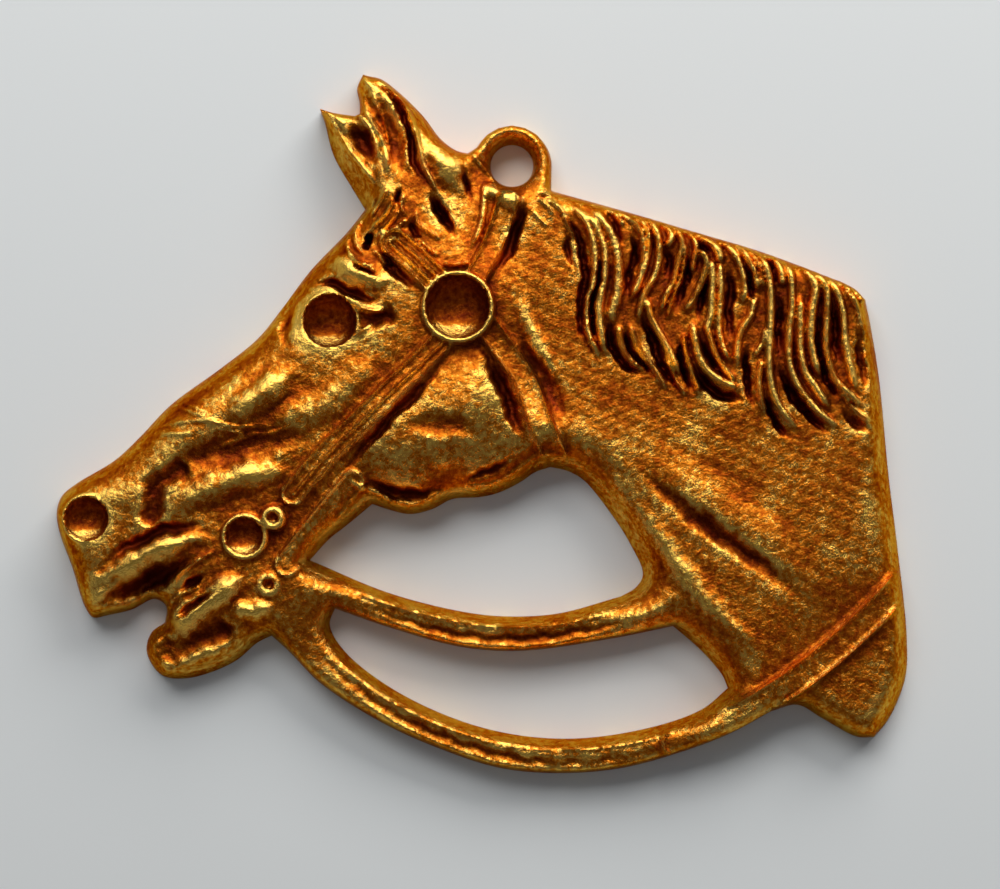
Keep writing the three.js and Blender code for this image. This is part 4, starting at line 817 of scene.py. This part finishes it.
def join_walls(plan, z, triangles, back, sizes):
    """Adds the drafted, slightly bulged walls below the face, down to the edges of the flat back."""
    rim_count = sum(sizes)
    rim, foot = plan[:rim_count], np.vstack(back)
    layers = [np.column_stack([plan, z])]
    for level in WALL_LEVELS:
        lean = level ** WALL_BULGE
        layers.append(np.column_stack([rim + (foot - rim) * lean, z[:rim_count] * (1 - level)]))
    layers.append(np.column_stack([foot, np.zeros(rim_count)]))
    verts = np.vstack(layers)
    starts = [0] + [len(plan) + k * rim_count for k in range(len(WALL_LEVELS) + 1)]
    sides = [triangles[:, pair] for pair in ([0, 1], [1, 2], [2, 0])]
    edge_sides = set(map(tuple, np.vstack(sides).tolist()))
    quads = []
    loop_start = 0
    for size in sizes:
        for i in range(size):
            a, b = loop_start + i, loop_start + (i + 1) % size
            if (a, b) in edge_sides:
                a, b = b, a
            for top, low in zip(starts, starts[1:]):
                quads.append((a + top, b + top, b + low, a + low))
        loop_start += size
    verts[:, :2] = fit_to_frame(verts[:, :2])
    verts[:, 2] *= MM
    return verts, triangles, quads


def add_casting(settings):
    """The casting as an object, and how far inside the edge each face point lies."""
    spacings = settings.fine_spacing, settings.coarse_spacing, settings.edge_spacing
    (verts, triangles, quads), inward = casting_mesh(*spacings)
    mesh = bpy.data.meshes.new(PIECE)
    mesh.from_pydata(verts.tolist(), [], triangles.tolist() + quads)
    mesh.update()
    piece = bpy.data.objects.new(PIECE, mesh)
    bpy.context.scene.collection.objects.link(piece)
    deselect_all()
    piece.select_set(True)
    bpy.context.view_layer.objects.active = piece
    close_back(piece)
    return piece, inward


def deselect_all():
    if bpy.context.object and bpy.context.object.mode != "OBJECT":
        bpy.ops.object.mode_set(mode="OBJECT")
    bpy.ops.object.select_all(action="DESELECT")


def close_back(piece):
    """Fills the flat back between its edges."""
    bpy.ops.object.mode_set(mode="EDIT")
    bpy.ops.mesh.select_mode(type="EDGE")
    bpy.ops.mesh.select_all(action="DESELECT")
    mesh = bmesh.from_edit_mesh(piece.data)
    for edge in mesh.edges:
        edge.select_set(edge.is_boundary)
    bmesh.update_edit_mesh(piece.data)
    bpy.ops.mesh.fill(use_beauty=True)
    bpy.ops.mesh.select_all(action="SELECT")
    bpy.ops.mesh.normals_make_consistent(inside=False)
    bpy.ops.object.mode_set(mode="OBJECT")


def sunk_below(points, radius):
    """How far each face point lies below the mean of its surroundings, in millimetres."""
    low = points[:, :2].min(0) - 2 * radius
    shape = np.ceil((points[:, :2].max(0) + 2 * radius - low) / WEAR_CELL).astype(int) + 2
    place = (points[:, :2] - low) / WEAR_CELL
    cell = place.astype(int)
    part = place - cell
    corners = [(0, 0), (0, 1), (1, 0), (1, 1)]
    shares = [np.abs(1 - i - part[:, 0]) * np.abs(1 - j - part[:, 1]) for i, j in corners]
    height, weight = np.zeros(shape), np.zeros(shape)
    for (i, j), share in zip(corners, shares):
        np.add.at(height, (cell[:, 0] + i, cell[:, 1] + j), share * points[:, 2])
        np.add.at(weight, (cell[:, 0] + i, cell[:, 1] + j), share)
    reach = max(1, round(radius / WEAR_CELL / 2))
    for _ in range(3):
        height, weight = box_blur(height, reach), box_blur(weight, reach)
    mean = height / np.maximum(weight, 1e-6)
    around = sum(share * mean[cell[:, 0] + i, cell[:, 1] + j] for (i, j), share in zip(corners, shares))
    return around - points[:, 2]


def box_blur(grid, reach):
    for axis in (0, 1):
        total = sum(np.roll(grid, k, axis=axis) for k in range(-reach, reach + 1))
        grid = total / (2 * reach + 1)
    return grid


def store_wear_and_painted_light(piece, inward):
    """Writes how hollow each point is, for the finish to read: 0 on rubbed ridges, 1 in deep hollows; inside
    the cups it writes painted shade, with a painted highlight on their lower wall.
    """
    mesh = piece.data
    points = np.empty(len(mesh.vertices) * 3)
    mesh.vertices.foreach_get("co", points)
    points = points.reshape(-1, 3) / MM
    face = points[:len(inward)]
    hollow = np.full(len(points), WALL_WEAR)
    near, wide = sunk_below(face, NEAR_RADIUS), sunk_below(face, WIDE_RADIUS)
    carved = np.clip(0.5 + NEAR_SHARE * near + WIDE_SHARE * wide, 0, 1)
    # Painted light in the cups: their bowls get painted shade, and their lower wall, which faces the light,
    # gets a painted highlight.
    for cx, cy, _, bowl, _, _ in CUPS:
        across, up = (face[:, 0] - cx) / bowl, (face[:, 1] - cy) / bowl
        in_bowl = across ** 2 + up ** 2 < 1
        carved[in_bowl] = (BOWL_PATINA_AND_SHADE - BOWL_LOWER_HIGHLIGHT * soft_step(-up, 0.3, 0.7))[in_bowl]
    from_edge = soft_step(inward, 0, EDGE_WEAR_WIDTH)
    hollow[:len(inward)] = WALL_WEAR + (carved - WALL_WEAR) * from_edge
    # The hollow attribute carries tarnish and wear, and inside the cups painted shade and a painted
    # highlight.
    layer = mesh.attributes.new("hollow", "FLOAT", "POINT")
    layer.data.foreach_set("value", hollow)


# ------------------------------------------------------------------ finish

CLOUD_SCALE, GRAIN_SCALE, PIT_SCALE = 260, 1900, 4200  # noise features per metre
GRAIN_DEPTH = 0.00022


def new_node(tree, kind, place, **values):
    node = tree.nodes.new(kind)
    node.location = place
    for name, value in values.items():
        setattr(node, name, value)
    return node


def wire(tree, source, target):
    tree.links.new(source, target)


def noise(tree, where, place, scale, detail, roughness):
    node = new_node(tree, "ShaderNodeTexNoise", place)
    node.inputs["Scale"].default_value = scale
    node.inputs["Detail"].default_value = detail
    node.inputs["Roughness"].default_value = roughness
    wire(tree, where, node.inputs["Vector"])
    return node.outputs["Fac"]


def weighted_sum(tree, parts, offset, place):
    total = None
    for i, (source, weight) in enumerate(parts):
        step = new_node(tree, "ShaderNodeMath", (place[0] + 170 * i, place[1]), operation="MULTIPLY_ADD")
        wire(tree, source, step.inputs[0])
        step.inputs[1].default_value = weight
        if total is None:
            step.inputs[2].default_value = offset
        else:
            wire(tree, total, step.inputs[2])
        total = step.outputs[0]
    return total


def brass_material(settings):
    """Gold on the ridges, through amber and patina to brown in the hollows, with a fine grain; inside the
    cups the same colours carry painted shade and a painted highlight.
    """
    material = bpy.data.materials.new("aged_brass")
    material.use_nodes = True
    tree = material.node_tree
    tree.nodes.clear()
    out = new_node(tree, "ShaderNodeOutputMaterial", (900, 0))
    shader = new_node(tree, "ShaderNodeBsdfPrincipled", (600, 0))
    wire(tree, shader.outputs["BSDF"], out.inputs["Surface"])
    shader.inputs["Metallic"].default_value = 1.0
    coords = new_node(tree, "ShaderNodeTexCoord", (-1400, 0))
    where = coords.outputs["Object"]
    # The hollow attribute holds tarnish and wear, and inside the cups painted shade and a painted highlight
    # on their lower wall.
    hollow = new_node(tree, "ShaderNodeAttribute", (-1400, 300), attribute_name="hollow").outputs["Fac"]

    shader.inputs["Specular Tint"].default_value = (*settings.grazing_gold, 1)
    clouds = noise(tree, where, (-1150, 250), scale=CLOUD_SCALE, detail=5, roughness=0.6)
    grain = noise(tree, where, (-1150, 0), scale=GRAIN_SCALE, detail=5, roughness=0.7)
    pits = noise(tree, where, (-1150, -250), scale=PIT_SCALE, detail=3, roughness=0.6)

    stains_and_painted_light = [(hollow, 1.0), (clouds, 0.7), (grain, 0.95)]
    tarnish_and_painted_light = weighted_sum(tree, stains_and_painted_light, offset=-0.8, place=(-800, 250))
    ramp = new_node(tree, "ShaderNodeValToRGB", (-420, 200))
    wire(tree, tarnish_and_painted_light, ramp.inputs["Fac"])
    stops = ramp.color_ramp.elements
    stops[0].position, stops[0].color = 0.28, (*settings.bright_gold, 1)
    stops[1].position, stops[1].color = 0.86, (*settings.hollow_brown, 1)
    stops.new(0.46).color = (*settings.amber, 1)
    stops.new(0.62).color = (*settings.patina, 1)
    wire(tree, ramp.outputs["Color"], shader.inputs["Base Color"])

    rough = new_node(tree, "ShaderNodeMapRange", (-420, -60))
    wire(tree, tarnish_and_painted_light, rough.inputs["Value"])
    rough.inputs["From Min"].default_value = 0.3
    rough.inputs["From Max"].default_value = 0.7
    rough.inputs["To Min"].default_value = settings.polish_roughness
    rough.inputs["To Max"].default_value = settings.hollow_roughness
    wire(tree, rough.outputs["Result"], shader.inputs["Roughness"])

    surface = weighted_sum(tree, [(grain, 0.7), (pits, 0.35)], offset=0.0, place=(-800, -250))
    bump = new_node(tree, "ShaderNodeBump", (300, -200))
    bump.inputs["Distance"].default_value = GRAIN_DEPTH
    bump.inputs["Strength"].default_value = 0.85
    wire(tree, surface, bump.inputs["Height"])
    wire(tree, bump.outputs["Normal"], shader.inputs["Normal"])
    return material


# ------------------------------------------------------------------ settings


class BrassCastingSettings(bpy.types.PropertyGroup):
    fine_spacing: bpy.props.FloatProperty(
        name="Fine spacing",
        description="Distance between face points where the carving is fine, in millimetres",
        default=0.2, min=0.1, max=1.0)
    coarse_spacing: bpy.props.FloatProperty(
        name="Coarse spacing", description="Distance between face points on smooth places, in millimetres",
        default=0.28, min=0.1, max=2.0)
    edge_spacing: bpy.props.FloatProperty(
        name="Edge spacing", description="Distance between points along the edges, in millimetres",
        default=0.26, min=0.1, max=1.0)


class BrassFinishSettings(bpy.types.PropertyGroup):
    bright_gold: bpy.props.FloatVectorProperty(
        name="Bright gold", description="Colour of the rubbed ridges", subtype="COLOR",
        default=(0.97, 0.58, 0.11))
    amber: bpy.props.FloatVectorProperty(
        name="Amber", description="Colour of the open surfaces", subtype="COLOR", default=(0.66, 0.20, 0.012))
    patina: bpy.props.FloatVectorProperty(
        name="Patina", description="Colour of the darkened surfaces", subtype="COLOR",
        default=(0.38, 0.072, 0.004))
    hollow_brown: bpy.props.FloatVectorProperty(
        name="Hollow brown", description="Colour of the deepest hollows", subtype="COLOR",
        default=(0.14, 0.016, 0.003))
    grazing_gold: bpy.props.FloatVectorProperty(
        name="Grazing gold", description="Tint of reflections seen at a low angle", subtype="COLOR",
        default=(0.60, 0.34, 0.05))
    polish_roughness: bpy.props.FloatProperty(
        name="Ridge roughness", description="Roughness of the rubbed ridges", default=0.2, min=0.0, max=1.0)
    hollow_roughness: bpy.props.FloatProperty(
        name="Hollow roughness", description="Roughness of the hollows", default=0.38, min=0.0, max=1.0)


class BrassStudioSettings(bpy.types.PropertyGroup):
    camera_distance: bpy.props.FloatProperty(
        name="Camera distance", description="Distance from the camera to the brass",
        default=0.22, unit="LENGTH")
    camera_tilt: bpy.props.FloatProperty(
        name="Camera tilt", description="Lean of the view from straight down",
        default=math.radians(3), subtype="ANGLE")
    floor_colour: bpy.props.FloatVectorProperty(
        name="Floor colour", description="Colour of the plain floor", subtype="COLOR",
        default=(0.78, 0.80, 0.80))
    key_power: bpy.props.FloatProperty(
        name="Key light power", description="Power of the large soft light, in watts", default=2.75, min=0.0)


# ------------------------------------------------------------------ operators

FLOOR_SIZE = 1.6
FLOOR_DROP = 0.00005  # keeps the floor just below the flat back
VIEW_WIDTH = 0.0991  # width of the view at the brass
VIEW_CENTRE = (0.00187, -0.0024, 0.002)


class BRASS_OT_casting(bpy.types.Operator):
    """Model the whole casting: carved face, drafted walls and flat back"""

    bl_idname = "brass.casting"
    bl_label = "Model the casting"

    def execute(self, context):
        piece, inward = add_casting(context.scene.brass_casting)
        store_wear_and_painted_light(piece, inward)
        piece.data.materials.append(brass_material(context.scene.brass_finish))
        deselect_all()
        piece.select_set(True)
        bpy.context.view_layer.objects.active = piece
        bpy.ops.object.shade_smooth_by_angle(angle=math.radians(75))
        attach(piece, "root")
        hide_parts(NODE)
        return {"FINISHED"}


class BRASS_OT_studio(bpy.types.Operator):
    """Set the plain floor, the soft lights and the camera"""

    bl_idname = "brass.studio"
    bl_label = "Set the studio"

    def execute(self, context):
        settings = context.scene.brass_studio
        add_floor(settings)
        add_lights(settings)
        add_camera(settings)
        return {"FINISHED"}


def add_floor(settings):
    deselect_all()
    bpy.ops.mesh.primitive_plane_add(size=FLOOR_SIZE, location=(0, 0, 0))
    floor = bpy.context.object
    floor.name = "floor"
    bpy.ops.object.mode_set(mode="EDIT")
    bpy.ops.mesh.select_all(action="SELECT")
    bpy.ops.transform.translate(value=(0, 0, -FLOOR_DROP))
    bpy.ops.object.mode_set(mode="OBJECT")
    material = bpy.data.materials.new("pale_floor")
    material.use_nodes = True
    shader = material.node_tree.nodes["Principled BSDF"]
    shader.inputs["Base Color"].default_value = (*settings.floor_colour, 1)
    shader.inputs["Roughness"].default_value = 0.9
    floor.data.materials.append(material)


def area_light(name, place, size, power, colour=(1, 1, 1)):
    """A soft light that points at the brass."""
    light = bpy.data.lights.new(name, "AREA")
    light.shape = "RECTANGLE"
    light.size, light.size_y = size
    light.energy = power
    light.color = colour
    lamp = bpy.data.objects.new(name, light)
    lamp.location = place
    lamp.rotation_euler = (-Vector(place)).to_track_quat("-Z", "Y").to_euler()
    bpy.context.scene.collection.objects.link(lamp)


def add_lights(settings):
    area_light("key", (0.2, 0.46, 0.22), (0.5, 0.22), settings.key_power, (1.0, 0.99, 0.97))
    area_light("window", (-0.12, 0.4, 0.4), (0.4, 0.26), settings.key_power * 0.6)
    world = bpy.data.worlds.new("dim_room")
    world.use_nodes = True
    world.node_tree.nodes["Background"].inputs["Color"].default_value = (0.9, 0.95, 1.0, 1)
    world.node_tree.nodes["Background"].inputs["Strength"].default_value = 0.14
    bpy.context.scene.world = world
    bpy.context.scene.view_settings.view_transform = "Standard"


def add_camera(settings):
    camera = bpy.data.cameras.new("camera")
    camera.sensor_width = 36
    camera.lens = camera.sensor_width * settings.camera_distance / VIEW_WIDTH
    holder = bpy.data.objects.new("camera", camera)
    lean, distance = settings.camera_tilt, settings.camera_distance
    holder.location = Vector(VIEW_CENTRE) + distance * Vector((0, -math.sin(lean), math.cos(lean)))
    holder.rotation_euler = (lean, 0, 0)
    camera.clip_start = 0.01
    bpy.context.scene.collection.objects.link(holder)
    bpy.context.scene.camera = holder


class BRASS_PT_panel(bpy.types.Panel):
    """Sizes, colours and steps of the horse brass"""

    bl_idname = "BRASS_PT_panel"
    bl_label = "Horse Brass"
    bl_space_type = "VIEW_3D"
    bl_region_type = "UI"
    bl_category = "Horse Brass"

    def draw(self, context):
        for name in SETTINGS:
            box = self.layout.box()
            group = getattr(context.scene, name)
            for prop in type(group).__annotations__:
                box.prop(group, prop)
        self.layout.operator(BRASS_OT_casting.bl_idname)
        self.layout.operator(BRASS_OT_studio.bl_idname)


SETTINGS = {
    "brass_casting": BrassCastingSettings,
    "brass_finish": BrassFinishSettings,
    "brass_studio": BrassStudioSettings,
}
CLASSES = [*SETTINGS.values(), BRASS_OT_casting, BRASS_OT_studio, BRASS_PT_panel]


def register():
    for cls in CLASSES:
        bpy.utils.register_class(cls)
    for name, cls in SETTINGS.items():
        setattr(bpy.types.Scene, name, bpy.props.PointerProperty(type=cls))


def unregister():
    for name in SETTINGS:
        delattr(bpy.types.Scene, name)
    for cls in reversed(CLASSES):
        bpy.utils.unregister_class(cls)


def main():
    register()
    bpy.ops.brass.casting()
    bpy.ops.brass.studio()


if __name__ == "__main__":
    main()
